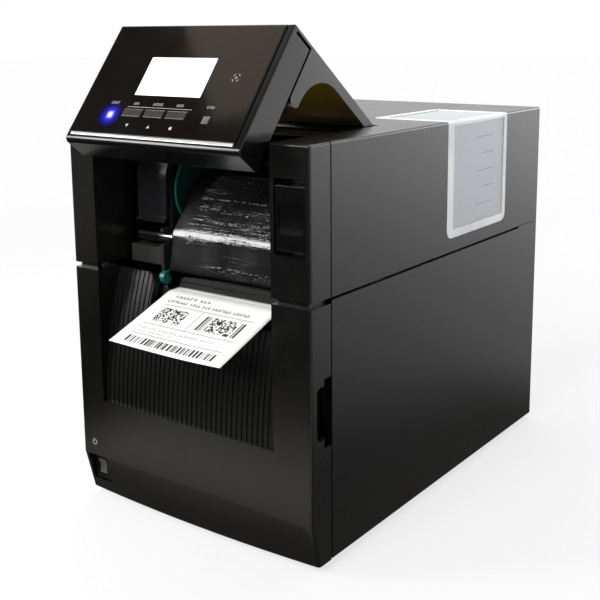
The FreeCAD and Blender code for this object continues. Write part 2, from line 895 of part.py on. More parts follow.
def hinge_brackets():
    """Fixed hinge pieces: two brackets for the door and two leaves for the lifting cover."""
    brackets = []
    reach = rear_cover_right - bracket_foot
    for z in bracket_levels():
        arm = box(reach, door_axis_x, housing_depth - cover_wall - 2 * door_lug_radius,
                  housing_depth - cover_wall - 0.6, z, z + bracket_thickness)
        eye = rod_z(door_lug_radius, z, z + bracket_thickness, door_axis_x, door_axis_y)
        foot = box(reach, reach + 16, housing_depth - cover_wall - 2, housing_depth - cover_wall,
                   z - 8, z + bracket_thickness + 8)
        bracket = join([arm, eye, foot])
        bracket = bracket.cut(rod_z(door_pin_radius + 0.01, z - 1, z + bracket_thickness + 1,
                                    door_axis_x, door_axis_y))
        brackets.append(bracket)
    for side in (-1, 1):
        brackets.append(cover_hinge_leaf(side * cover_hinge_offset, False))
    return Part.makeCompound(brackets)


def cover_hinge_leaf(x, moving):
    """One leaf of a cover hinge, with its knuckles round the hinge axis."""
    half = cover_hinge_width / 2
    centre_half = cover_knuckle_width / 2
    y0, y1 = housing_depth, housing_depth + cover_leaf_thickness
    if moving:
        spans = [(x - centre_half, x + centre_half)]
        leaf = box(x - half, x + half, y0, y1, cover_axis_z + leaf_relief,
                   cover_axis_z + cover_leaf_height)
    else:
        spans = [(x - half, x - centre_half - body_gap), (x + centre_half + body_gap, x + half)]
        leaf = box(x - half, x + half, y0, y1, cover_axis_z - cover_leaf_height,
                   cover_axis_z - leaf_relief)
    pieces = [leaf]
    for x0, x1 in spans:
        low = cover_axis_z if moving else cover_axis_z - cover_leaf_height + 1
        high = cover_axis_z + cover_leaf_height - 1 if moving else cover_axis_z
        pieces.append(box(x0, x1, cover_axis_y - cover_knuckle_radius, y1, low, high))
        pieces.append(rod_x(cover_knuckle_radius, x0, x1, cover_axis_y, cover_axis_z))
    hole = cover_pin_radius + (running_fit if moving else running_fit / 5)
    return join(pieces).cut(rod_x(hole, x - half - 1, x + half + 1, cover_axis_y, cover_axis_z))


def cover_hinge_leaves():
    leaves = [cover_hinge_leaf(side * cover_hinge_offset, True) for side in (-1, 1)]
    return Part.makeCompound(leaves)


def hinge_pins():
    """The two upright pins of the door and the two level pins of the lifting cover."""
    pins = []
    low, high = bracket_levels()
    pins.append(rod_z(door_pin_radius, low - 1, low + bracket_thickness + door_lug_height * 0.9,
                      door_axis_x, door_axis_y))
    pins.append(rod_z(door_pin_radius, high - door_lug_height * 0.9, high + bracket_thickness + 1,
                      door_axis_x, door_axis_y))
    for side in (-1, 1):
        x = side * cover_hinge_offset
        half = cover_hinge_width / 2 + 0.6
        pins.append(rod_x(cover_pin_radius, x - half, x + half, cover_axis_y, cover_axis_z))
    return Part.makeCompound(pins)


def screw_places():
    return [(x, z) for x in (rear_cover_left + screw_inset, rear_cover_right - screw_inset)
            for z in (flange_height / 2 + 2, door_top - 37.4)]


def port_sizes():
    """Each port's lowest height, height and socket size across and up."""
    return ((board_bottom + 14.0, 12.0, 8.6, 7.8), (board_bottom + 34.0, 14.5, 11.8, 9.0),
            (board_bottom + 58.0, 32.0, 9.0, 17.0))


def rear_cover():
    y0, y1 = housing_depth - cover_wall, housing_depth
    plate = box(rear_cover_left, rear_cover_right, y0, y1, door_bottom, tight_top)
    first = -vent_pitch * (vent_count - 1) / 2 + 20
    for index in range(vent_count):
        x = first + index * vent_pitch
        plate = plate.cut(slab_y(x - vent_width / 2, x + vent_width / 2, y0 - 1, y1 + 1,
                                 vent_bottom, vent_bottom + vent_height, vent_width / 2 - 0.05))
    plate = plate.cut(box(inlet_x - inlet_width / 2 - fit, inlet_x + inlet_width / 2 + fit,
                          y0 - 1, y1 + 1, inlet_z - inlet_height / 2 - fit,
                          inlet_z + inlet_height / 2 + fit))
    for bottom, height, _, _ in port_sizes():
        plate = plate.cut(box(port_right - port_width - fit, port_right + fit, y0 - 1, y1 + 1,
                              bottom - fit, bottom + height + fit))
    for x, z in screw_places():
        plate = plate.cut(rod_y(screw_radius + fit, y0 - 1, y1 + 1, x, z))
    return plate


def cover_screws():
    screws = []
    for x, z in screw_places():
        head = rod_y(screw_head_radius, housing_depth, housing_depth + screw_head_height, x, z)

        def outer_rim(edge):
            return near(edge.YMin, housing_depth + screw_head_height)
        head = round_edges(head, 1.0, outer_rim)
        shank_start = housing_depth - cover_wall
        shank = rod_y(screw_radius, shank_start, housing_depth + 1, x, z)
        drive = box(x - 2.6, x + 2.6, housing_depth + 1.2, housing_depth + 4, z - 0.5, z + 0.5)
        cross = box(x - 0.5, x + 0.5, housing_depth + 1.2, housing_depth + 4, z - 2.6, z + 2.6)
        screws.append(join([head, shank]).cut(drive).cut(cross))
    return Part.makeCompound(screws)


def power_inlet():
    """The mains inlet: a shrouded socket with a flange and three flat pins."""
    hx, hz = inlet_width / 2, inlet_height / 2
    face = housing_depth + inlet_flange_thickness
    body = box(inlet_x - hx, inlet_x + hx, housing_depth - inlet_depth, face,
               inlet_z - hz, inlet_z + hz)
    flange = slab_y(inlet_x - hx - inlet_flange, inlet_x + hx + inlet_flange, housing_depth, face,
                    inlet_z - hz - 2, inlet_z + hz + 2, 2.0)
    hollow = slab_y(inlet_x - hx + inlet_wall, inlet_x + hx - inlet_wall,
                    housing_depth - inlet_depth + 4, face + 1,
                    inlet_z - hz + inlet_wall, inlet_z + hz - inlet_wall, 3.0)
    pieces = [join([body, flange]).cut(hollow)]
    for step, rise in ((-1, -1), (0, 1), (1, -1)):
        x = inlet_x + step * inlet_pin_pitch
        z = inlet_z + rise * inlet_pin_rise / 2
        pieces.append(box(x - inlet_pin_width / 2, x + inlet_pin_width / 2,
                          housing_depth - inlet_depth + 4, housing_depth - 4,
                          z - inlet_pin_height / 2, z + inlet_pin_height / 2))
    return join(pieces)


def interface_ports():
    ports = []
    front, face = board_rear - port_depth, housing_depth + port_proud
    middle = port_right - port_width / 2
    for bottom, height, wide, tall in port_sizes():
        shell = box(port_right - port_width, port_right, front, face, bottom, bottom + height)
        z = bottom + height / 2
        socket = box(middle - wide / 2, middle + wide / 2, face - socket_depth, face + 1,
                     z - tall / 2, z + tall / 2)
        ports.append(shell.cut(socket))
    return Part.makeCompound(ports)


def main_board():
    """The main circuit board with its larger components on the outer face."""
    right = frame_x - board_standoff
    left = right - board_thickness
    board = box(left, right, board_front, board_rear, board_bottom, board_top)
    parts = [board]
    span_y = board_rear - board_front - 60
    for row in range(3):
        for column in range(4):
            y = board_front + 12 + column * span_y / 4
            z = board_bottom + 18 + row * 32
            size = 10 + 4 * ((row + 2 * column) % 3)
            parts.append(box(left - chip_height, left + 0.2, y, y + size, z, z + size))
    for step in range(3):
        y = board_front + 20 + step * 18
        parts.append(rod_x(5.0, left - 14, left + 0.2, y, board_top - 9))
    return join(parts)


def power_supply():
    x0 = -half_width + supply_left
    case = box(x0, x0 + supply_width, supply_front, supply_front + supply_length,
               floor_thickness, floor_thickness + supply_height)
    for index in range(6):
        y = supply_front + 18 + index * 16
        case = case.cut(box(x0 + 8, x0 + supply_width - 8, y, y + 5,
                            floor_thickness + supply_height - 3,
                            floor_thickness + supply_height + 1))
    return case


def idler_centre():
    reach = gear_module * (platen_teeth + idler_teeth) / 2
    angle = math.radians(idler_angle)
    return platen_y + reach * math.cos(angle), platen_z + reach * math.sin(angle)


def pinion_centre():
    y, z = idler_centre()
    reach = gear_module * (idler_teeth + pinion_teeth) / 2
    angle = math.radians(pinion_angle)
    return y + reach * math.cos(angle), z + reach * math.sin(angle)


def platen_shaft():
    """The platen's steel shaft with its feed gear pressed on the left end."""
    end = outer_plate_right + 1.5
    shaft = rod_x(platen_shaft_radius, gear_left - 2, end, platen_y, platen_z)
    gear = spur_gear(platen_teeth, idler_angle, gear_left, gear_right, platen_y, platen_z,
                     platen_shaft_radius)
    return Part.makeCompound([shaft, gear])


def platen_roller():
    tube = rod_x(platen_radius, platen_left, platen_right, platen_y, platen_z)
    return tube.cut(rod_x(platen_shaft_radius, platen_left - 1, platen_right + 1,
                          platen_y, platen_z))


def platen_bearings():
    rings = []
    for x0, x1 in ((frame_x - 1.5, frame_right + 1.5),
                   (outer_plate_x - 1.5, outer_plate_right + 0.8)):
        ring = rod_x(bearing_radius, x0, x1, platen_y, platen_z)
        rings.append(ring.cut(rod_x(platen_shaft_radius + running_fit, x0 - 1, x1 + 1,
                                    platen_y, platen_z)))
    return Part.makeCompound(rings)


def idler_gear():
    y, z = idler_centre()
    phase = idler_angle + 180 + 180.0 / idler_teeth
    return spur_gear(idler_teeth, phase, gear_left, gear_right, y, z, stud_radius + running_fit)


def motor_pinion():
    y, z = pinion_centre()
    step = 360.0 / idler_teeth
    offset = (pinion_angle - idler_angle - 180 - step / 2) % step
    phase = pinion_angle + 180 + offset * idler_teeth / pinion_teeth + 180.0 / pinion_teeth
    gear = spur_gear(pinion_teeth, phase, gear_left, gear_right, y, z, motor_shaft_radius)
    shaft = rod_x(motor_shaft_radius, gear_left - 4 - motor_shaft_tail, gear_right + 1, y, z)
    return join([gear, shaft])


def feed_motor():
    """The step motor, held off the frame by three posts, with a recess round its shaft."""
    y, z = pinion_centre()
    face = gear_left - 4
    half = motor_size / 2
    can = slab_x(face - motor_length, face, y - half, y + half, z - half, z + half, 4.0)
    can = can.cut(rod_x(motor_shaft_radius + running_fit, face - 12, face + 1, y, z))
    posts = []
    for sy, sz in motor_posts:
        posts.append(rod_x(motor_standoff_radius, face - 0.5, frame_x,
                           y + sy * motor_bolt_pitch / 2, z + sz * motor_bolt_pitch / 2))
    return join([can] + posts)


def guide_shafts():
    """The fixed steel shafts: two ribbon guides, tension bar, head pivot and guide rod."""
    left = frame_right
    tension_y, tension_z = tension_bar_centre()
    shafts = [
        rod_x(front_guide_radius, front_guide_left, outer_plate_right, front_guide_y,
              front_guide_z),
        rod_x(rear_guide_radius, left, outer_plate_right, rear_guide_y, rear_guide_z),
        rod_x(tension_bar_radius, left, label_right + 6, tension_y, tension_z),
        rod_x(head_shaft_radius, left, outer_plate_right, head_pivot_y, head_pivot_z),
        rod_x(guide_rod_radius, left, outer_plate_right, guide_rod_y, guide_rod_z),
    ]
    return Part.makeCompound(shafts)


def web_turns():
    """The label web's run from the roll, over the feed plate's crest, to the tear bar."""
    return [(roll_y, roll_z, -roll_radius - body_gap),
            (web_crest_y, web_z - web_crest_radius, web_crest_radius),
            (frame_front, web_z, 0.0)]


def tension_bar_centre():
    """The tension bar rides on the upper side of the web between roll and feed plate."""
    low, high, normal = tangent(*web_turns()[:2])
    share = (tension_bar_y - low[0]) / (high[0] - low[0])
    reach = tension_bar_radius + web_thickness + 0.2
    return (tension_bar_y - reach * normal[0],
            low[1] + share * (high[1] - low[1]) - reach * normal[1])


def tear_bar():
    """The steel tear-off bar with a serrated upper edge and a bright lug at its left end."""
    top = web_z - web_lift - tear_bar_drop
    bar = box(frame_x, outer_plate_right, tear_bar_front, frame_front, top - tear_bar_height, top)
    pitch = 2.0
    count = int((label_width + 6) / pitch)
    notches = []
    for index in range(count):
        x = label_left - 3 + index * pitch
        tip = Part.makePolygon([V(x, tear_bar_front - 0.1, top + 0.1),
                                V(x + 0.9, tear_bar_front - 0.1, top + 0.1),
                                V(x + 0.45, tear_bar_front - 0.1, top - 0.8),
                                V(x, tear_bar_front - 0.1, top + 0.1)])
        notches.append(Part.Face(tip).extrude(V(0, 1.2, 0)))
    bar = bar.cut(Part.makeCompound(notches))
    lug = box(frame_right + 1.5, film_left - 1.5, tear_bar_front, tear_bar_front + 1.5,
              top - 1, top + 3.2)
    return join([bar, lug])


def media_feed_plate():
    top = web_z - 0.25
    front = platen_y + platen_radius + feed_plate_gap
    plate = box(frame_right, outer_plate_x, front, feed_plate_rear, top - feed_plate_height, top)

    def crest(edge):
        return edge.XLength > 50 and near(edge.YMin, feed_plate_rear) and near(edge.ZMax, top)
    plate = round_edges(plate, 6.0, crest)
    slot = box(10, 30, front + 12, front + 26, top - 2, top + 1)
    return plate.cut(slot)


def media_web():
    return strip(web_turns(), web_thickness, label_left, label_right)


def printed_label():
    turns = [(frame_front, web_z, 0.0),
             (label_bend_y, web_z - label_bend_radius, label_bend_radius),
             (label_tip_y, label_tip_z, 0.0)]
    return strip(turns, web_thickness, label_left, label_right)


def ribbon_film():
    """The ribbon's run from the take-up roll, over the guide and head, to the supply roll."""
    nip = film_nip_radius + head_bottom_gap
    turns = [(takeup_y, takeup_z, takeup_roll_radius + body_gap),
             (front_guide_y, front_guide_z, front_guide_radius + 0.4),
             (film_bulge_y + film_bulge_radius, film_bulge_z, film_bulge_radius),
             (head_front + film_nip_radius, film_z + nip, nip),
             (film_lift_y, film_z + film_lift_radius, film_lift_radius),
             (rear_guide_y, rear_guide_z, rear_guide_radius + 0.4),
             (supply_y, supply_z, -supply_roll_radius - body_gap)]
    return strip(turns, film_thickness, film_left, film_right)


def takeup_spindle():
    shaft = rod_x(spindle_radius, spindle_left, spindle_right, takeup_y, takeup_z)
    clutch = rod_x(clutch_radius, spindle_left - 2, frame_x - 3, takeup_y, takeup_z)
    return join([shaft, clutch])


def takeup_flange():
    disc = rod_x(takeup_flange_radius, film_left - takeup_flange_thickness - 2.6,
                 film_left - 2.6, takeup_y, takeup_z)
    hub = rod_x(9.0, film_left - 2.6, film_left - 0.2, takeup_y, takeup_z)
    return join([disc, hub]).cut(rod_x(spindle_radius, spindle_left, spindle_right,
                                       takeup_y, takeup_z))


def wound_roll(radius, bore, x0, x1, y, z):
    return rod_x(radius, x0, x1, y, z).cut(rod_x(bore, x0 - 1, x1 + 1, y, z))


def takeup_roll():
    return wound_roll(takeup_roll_radius, spindle_radius, film_left, film_right,
                      takeup_y, takeup_z)


def supply_spindle():
    shaft = rod_x(spindle_radius, spindle_left, spindle_right, supply_y, supply_z)
    clutch = rod_x(clutch_radius, spindle_left - 2, frame_x - 3, supply_y, supply_z)
    stop = rod_x(11.0, frame_right + 0.6, film_left - 0.2, supply_y, supply_z)
    return join([shaft, clutch, stop])


def supply_roll():
    return wound_roll(supply_roll_radius, spindle_radius, film_left, film_right,
                      supply_y, supply_z)


def ribbon_drive_cover():
    """The curved black cover over the ribbon drive, open at the back and on its left."""
    turns = [(shroud_lip_front, shroud_bottom, 0.0),
             (shroud_front - 1.0, shroud_bottom + 3.5, 1.0),
             (shroud_front + shroud_curve, shroud_top - shroud_curve, -shroud_curve),
             (shroud_rear, shroud_top, 0.0)]
    skin = strip(turns, shroud_wall, shroud_left, shroud_right)
    side_x = frame_x - shroud_wall
    rim = shroud_front + shroud_wall - 0.2
    web = prism_x([(rim, shroud_bottom + 3), (shroud_rear, shroud_bottom + 3),
                   (shroud_rear, shroud_top - 1), (rim + shroud_curve, shroud_top - 1),
                   (rim + 9, shroud_top - 9), (rim, shroud_top - shroud_curve)],
                  side_x, frame_x)
    web = web.cut(rod_x(15.0, side_x - 1, frame_x + 1, takeup_y, takeup_z))
    cover = join([skin, web])
    relief = prism_x([(y - 0.1, z + 0.1) for y, z in frame_outline()[4:7]]
                     + [(frame_top_front + 60, frame_step_z), (frame_top_front + 60, frame_top)],
                     frame_x, frame_right)
    return cover.cut(relief)


def head_side_block():
    return slab_x(block_left, frame_x, block_front, block_front + block_depth,
                  block_bottom, block_bottom + block_height, 1.0)


def head_bottom():
    return film_z + head_bottom_gap


def print_head_block():
    """The aluminium head carrier with its fins, hinged on a shaft at its rear."""
    low = head_bottom() + head_plate_height
    slab = box(head_left, head_right, head_front + 1, head_pivot_y - 4, low,
               low + head_block_height)
    hub = rod_x(head_hub_radius, head_left, head_right, head_pivot_y, head_pivot_z)
    for index in range(head_fin_count):
        y = head_front + 10 + index * (head_fin_width + 2.0)
        slab = slab.cut(box(head_left + 8, head_right - 8, y, y + 2.0,
                            low + head_block_height - head_fin_height,
                            low + head_block_height + 1))
    block = join([slab, hub])
    return block.cut(rod_x(head_shaft_radius + running_fit, head_left - 1, head_right + 1,
                           head_pivot_y, head_pivot_z))


def thermal_head():
    low = head_bottom()
    plate = box(head_left, head_right, head_front, head_front + head_plate_depth, low,
                low + head_plate_height)

    def burn_edge(edge):
        return edge.XLength > 50 and near(edge.YMax, head_front) and near(edge.ZMax, low)
    return round_edges(plate, film_nip_radius, burn_edge)


def head_lever():
    """The green lever that locks the head down, on a stud of the centre frame."""
    x0, x1 = lever_x, lever_x + lever_thickness
    arm = prism_x([(lever_pivot_y, lever_pivot_z + lever_arm_half),
                   (lever_tip_y, lever_tip_z + lever_arm_half),
                   (lever_tip_y, lever_tip_z - lever_arm_half),
                   (lever_pivot_y, lever_pivot_z - lever_arm_half)], x0, x1)
    lever = join([arm, rod_x(lever_hub_radius, x0, x1, lever_pivot_y, lever_pivot_z),
                  rod_x(lever_tip_radius, x0, x1, lever_tip_y, lever_tip_z)])
    return lever.cut(rod_x(lever_stud_radius + running_fit, x0 - 1, x1 + 1,
                           lever_pivot_y, lever_pivot_z))


def media_shaft():
    shaft = rod_x(media_shaft_radius, frame_right, media_shaft_end, roll_y, roll_z)
    plate = rod_x(media_shaft_flange_radius, frame_right, frame_right + media_shaft_flange,
                  roll_y, roll_z)
    cap = rod_x(media_shaft_radius + 1.2, media_shaft_end, media_shaft_end + 3, roll_y, roll_z)
    return join([shaft, plate, cap])


def media_hub():
    """The spool that turns on the fixed shaft and carries the label roll."""
    x0, x1 = label_left + 1, label_right - 1
    rim = rod_x(hub_radius, x0, x1, roll_y, roll_z)
    rim = rim.cut(rod_x(hub_radius - hub_wall, x0 - 1, x1 + 1, roll_y, roll_z))
    core = rod_x(media_shaft_radius + running_fit + 2.0, x0, x1, roll_y, roll_z)
    pieces = [rim, core]
    for index in range(hub_spokes):
        spoke = box(x0, x1, roll_y - 1.5, roll_y + 1.5, roll_z + media_shaft_radius + 1,
                    roll_z + hub_radius - 1)
        spoke.rotate(V(0, roll_y, roll_z), X_AXIS, 360.0 * index / hub_spokes)
        pieces.append(spoke)
    hub = join(pieces)
    return hub.cut(rod_x(media_shaft_radius + running_fit, x0 - 1, x1 + 1, roll_y, roll_z))


def media_roll():
    return wound_roll(roll_radius, core_radius, label_left, label_right, roll_y, roll_z)


def media_flange():
    """The sliding disc that holds the label roll sideways on its shaft."""
    x0 = label_right + body_gap
    disc = rod_x(media_flange_radius, x0, x0 + media_flange_thickness, roll_y, roll_z)
    for index in range(6):
        hole = rod_x(9.0, x0 - 1, x0 + media_flange_thickness + 1, roll_y + 27, roll_z)
        hole.rotate(V(0, roll_y, roll_z), X_AXIS, 60.0 * index)
        disc = disc.cut(hole)
    collar = rod_x(media_collar_radius, x0, x0 + media_collar_length, roll_y, roll_z)
    flange = join([disc, collar])
    return flange.cut(rod_x(media_shaft_radius + running_fit, x0 - 1, x0 + media_collar_length + 1,
                            roll_y, roll_z))


def media_guide():
    """The sliding side guide of the label web, on its own rod under the feed plane."""
    x0 = label_right + body_gap
    hub = rod_x(guide_hub_radius, x0, x0 + guide_hub_length, guide_rod_y, guide_rod_z)
    blade = prism_x([(guide_rod_y - 4, guide_rod_z + 2), (guide_rod_y + 4, guide_rod_z + 2),
                     (guide_rod_y + 4, guide_blade_top - 8), (guide_rod_y - 2, guide_blade_top),
                     (feed_plate_rear + 1, guide_blade_top)], x0, x0 + guide_blade_thickness)
    nose = box(x0, x0 + guide_blade_thickness, guide_blade_front, guide_rod_y + 2,
               web_z + 1.2, guide_blade_top)
    guide = join([hub, blade, nose])
    return guide.cut(rod_x(guide_rod_radius + running_fit, x0 - 1, x0 + guide_hub_length + 1,
                           guide_rod_y, guide_rod_z))


def window_body(clearance, outward):
    """The L-shaped outline of the window, over the side and the roof edge."""
    y0, y1 = window_front - clearance, window_front + window_length + clearance
    out = half_width + outward
    side = slab_x(half_width - window_thickness, out, y0, y1, window_bottom - clearance,
                  housing_height + 20, window_corner)
    side = side.common(box(-500, 500, -500, 500, 0, housing_height + outward))
    roof = round_edges(
        box(window_roof_left - clearance, half_width + 20, y0, y1,
            housing_height - window_thickness, housing_height + outward), window_corner,
        lambda e: e.ZLength > 1 and near(e.XMin, window_roof_left - clearance)
        and e.XLength < 0.01 and e.YLength < 0.01)
    roof = roof.common(box(-500, out, -500, 500, 0, 500))
    return side.fuse(roof).removeSplitter()


def top_window():
    y0, y1 = window_front, window_front + window_length
    body = window_body(0.0, 0.0)

    def ridge(edge):
        return near(edge.XMin, half_width) and near(edge.ZMin, housing_height) and edge.YLength > 50
    body = round_edges(body, roof_edge_radius, ridge)
    pane_front, pane_rear = y0 + window_border_front, y1 - window_border_rear
    side_pane = box(half_width - window_recess, half_width + 1, pane_front, pane_rear,
                    window_bottom + window_border_low, housing_height - window_border_high)
    roof_pane = box(window_roof_left + window_border_low, half_width - window_border_high,
                    pane_front, pane_rear, housing_height - window_recess, housing_height + 1)
    body = body.cut(side_pane).cut(roof_pane)
    f, t = window_flange, window_flange_thickness
    inside_x, inside_z = half_width - cover_wall, roof_inside
    side_flange = box(inside_x - t, inside_x, y0 - f, y1 + f, window_bottom - f, inside_z)
    roof_flange = box(window_roof_left - f, inside_x, y0 - f, y1 + f, inside_z - t, inside_z)
    flange = join([side_flange, roof_flange])
    flange = flange.cut(box(inside_x - t - 1, inside_x + 1, y0 + 3, y1 - 3, window_bottom + 3,
                            inside_z - 3))
    flange = flange.cut(box(window_roof_left + 3, inside_x - 3, y0 + 3, y1 - 3,
                            inside_z - t - 1, inside_z + 1))
    link = join([
        box(inside_x - t, half_width - window_thickness + 0.2, y0 + 0.5, y1 - 0.5,
            window_bottom + 0.5, inside_z).cut(
                box(inside_x - t - 1, half_width, y0 + 3, y1 - 3, window_bottom + 3, inside_z + 1)),
        box(window_roof_left + 0.5, inside_x, y0 + 0.5, y1 - 0.5, inside_z - t,
            housing_height - window_thickness + 0.2).cut(
                box(window_roof_left + 3, inside_x + 1, y0 + 3, y1 - 3, inside_z - t - 1,
                    housing_height)),
    ])
    return join([body, flange, link])


def top_cover():
    """The lifting cover: roof, upper sides, rear and the two upper front columns."""
    shell = box(-half_width, half_width, 0, housing_depth, upper_bottom, housing_height)

    def uprights(edge):
        return edge.ZLength > 50

    def roof_rim(edge):
        return near(edge.ZMin, housing_height)
    shell = round_edges(shell, corner_radius, uprights)
    shell = round_edges(shell, roof_edge_radius, roof_rim)
    w = cover_wall
    inside = box(-half_width + w, half_width - w, w, housing_depth - w, upper_bottom - 1,
                 roof_inside)
    shell = shell.cut(inside)
    pieces = [shell,
              box(bay_left - w, bay_left, w - 1, hood_bay_rear + w, upper_bottom, roof_inside + 1),
              box(bay_right, bay_right + w, w - 1, hood_bay_rear + w, upper_bottom,
                  roof_inside + 1),
              box(bay_left - 1, bay_right + 1, hood_bay_rear, hood_bay_rear + w,
                  hinge_wall_bottom, roof_inside + 1)]
    pocket_x0, pocket_x1 = button_recess_left, button_recess_left + button_recess_width
    pieces.append(box(pocket_x0 - pocket_wall, pocket_x1 + pocket_wall, w - 1,
                      button_recess_depth + pocket_wall, button_recess_bottom - pocket_wall,
                      button_recess_top + pocket_wall))
    pieces.append(rod_x(latch_hub_radius, bay_right + 0.5, latch_left - latch_gap, latch_pivot_y,
                        latch_pivot_z))
    pieces.append(rod_x(latch_hub_radius, latch_left + latch_width + latch_gap,
                        half_width - w + 0.5, latch_pivot_y, latch_pivot_z))
    cover = join(pieces)
    cover = cover.cut(box(bay_left, bay_right, -1, hood_bay_rear, upper_bottom - 1,
                          housing_height + 1))
    cover = cover.cut(slab_y(pocket_x0, pocket_x1, -1, button_recess_depth, button_recess_bottom,
                             button_recess_top, 1.0))
    cover = cover.cut(rod_y(button_rod_radius + running_fit, button_recess_depth - 1,
                            button_recess_depth + pocket_wall + 1,
                            pocket_x0 + button_recess_width / 2, button_rod_z))
    cover = cover.cut(rod_x(latch_pin_radius + running_fit, latch_left - 6,
                            latch_left + latch_width + 6, latch_pivot_y, latch_pivot_z))
    cover = cover.cut(rod_x(hood_stub_radius + running_fit, bay_left - w - 1, bay_left + 1,
                            hood_axis_y, hood_axis_z))
    cover = cover.cut(rod_x(hood_stub_radius + running_fit, bay_right - 1, bay_right + w + 1,
                            hood_axis_y, hood_axis_z))
    for side in (-1, 1):
        a = side * (half_width - strip_groove_depth)
        b = side * (half_width + 1)
        cover = cover.cut(box(min(a, b), max(a, b), strip_depth, strip_depth + strip_seam,
                              upper_bottom - 1, housing_height + 1))
    return cover.cut(window_body(fit, 1.0)).cut(window_opening())


def window_opening():
    """The clear hole through the cover wall behind the window."""
    y0, y1 = window_front, window_front + window_length
    side = box(half_width - cover_wall - 1, half_width - window_thickness + 1, y0, y1,
               window_bottom, roof_inside + 0.1)
    roof = box(window_roof_left, half_width - cover_wall + 0.1, y0, y1, roof_inside - 1,
               housing_height - window_thickness + 1)
    return side.fuse(roof)


def open_button():
    """The dished cover button with its push rod."""
    x = button_recess_left + button_recess_width / 2
    cap = slab_y(x - button_width / 2, x + button_width / 2, button_front,
                 button_front + button_thickness, button_bottom, button_bottom + button_height,
                 1.0)

    def front_rim(edge):
        return near(edge.YMin, button_front) and near(edge.YMax, button_front)
    cap = round_edges(cap, 0.7, front_rim)
    dish = rod_x(button_dish_radius, x - button_width / 2 + 2, x + button_width / 2 - 2,
                 button_front - button_dish_radius + button_dish_depth,
                 button_bottom + button_height / 2)
    cap = cap.cut(dish)
    rod = rod_y(button_rod_radius, button_front + button_thickness - 0.5, button_rod_end, x,
                button_rod_z)
    return join([cap, rod])


def latch_hook():
    """The rocking hook behind the button that holds the cover down."""
    x0, x1 = latch_left, latch_left + latch_width
    pad = button_rod_end + latch_gap
    arm_top = button_rod_z + 5
    hook_bottom = column_top - cover_wall - latch_tooth_height - 0.8
    tooth_top = column_top - cover_wall - 0.5
    stem = latch_slot_front + 4.5
    upper = prism_x([(latch_pivot_y - 2, latch_pivot_z), (pad, arm_top - 10), (pad, arm_top),
                     (pad + latch_arm_width, arm_top), (latch_pivot_y + 3, latch_pivot_z)], x0, x1)
    lower = prism_x([(latch_pivot_y - 4, latch_pivot_z), (stem, column_top + 6),
                     (stem, hook_bottom), (stem + latch_arm_width, hook_bottom),
                     (latch_slot_rear - body_gap, tooth_top),
                     (stem + latch_arm_width, tooth_top),
                     (stem + latch_arm_width, column_top + 8),
                     (latch_pivot_y + 3, latch_pivot_z)], x0, x1)
    hub = rod_x(latch_hub_radius, x0, x1, latch_pivot_y, latch_pivot_z)
    pin = rod_x(latch_pin_radius, x0 - 4.5, x1 + 4.5, latch_pivot_y, latch_pivot_z)
    return join([upper, lower, hub, pin])


def raised(shape):
    """The hood piece turned from closed to the angle at which the hood stands open."""
    turned = shape.copy()
    turned.rotate(V(0, hood_axis_y, hood_axis_z), X_AXIS, -hood_open_angle)
    return turned


def panel_box(x0, x1, depth0, depth1, low, high):
    """A box on the closed panel, by depth behind its face and height up from its lower edge."""
    return box(x0, x1, hood_face_y + depth0, hood_face_y + depth1,
               panel_bottom_z + low, panel_bottom_z + high)


def key_centres():
    return [key_first_x + index * key_pitch for index in range(3)]


def panel_openings(clearance, depth0, depth1, stems):
    """The holes in the panel's front for screen, keys and lenses."""
    holes = [panel_box(screen_left - clearance, screen_right + clearance, depth0, depth1,
                       screen_bottom - clearance, screen_top + clearance)]
    gap = key_gap
    for x in key_centres():
        half = key_stem_half if stems else key_width / 2
        low = key_bottom + (1.0 if stems else 0.0)
        high = key_bottom + key_height - (1.0 if stems else 0.0)
        holes.append(panel_box(x - half - gap, x + half + gap, depth0, depth1,
                               low - gap, high + gap))
    for x in (power_lens_x, error_lens_x):
        holes.append(panel_box(x - lens_width / 2 - clearance, x + lens_width / 2 + clearance,
                               depth0, depth1, lens_s - lens_height / 2 - clearance,
                               lens_s + lens_height / 2 + clearance))
    return holes


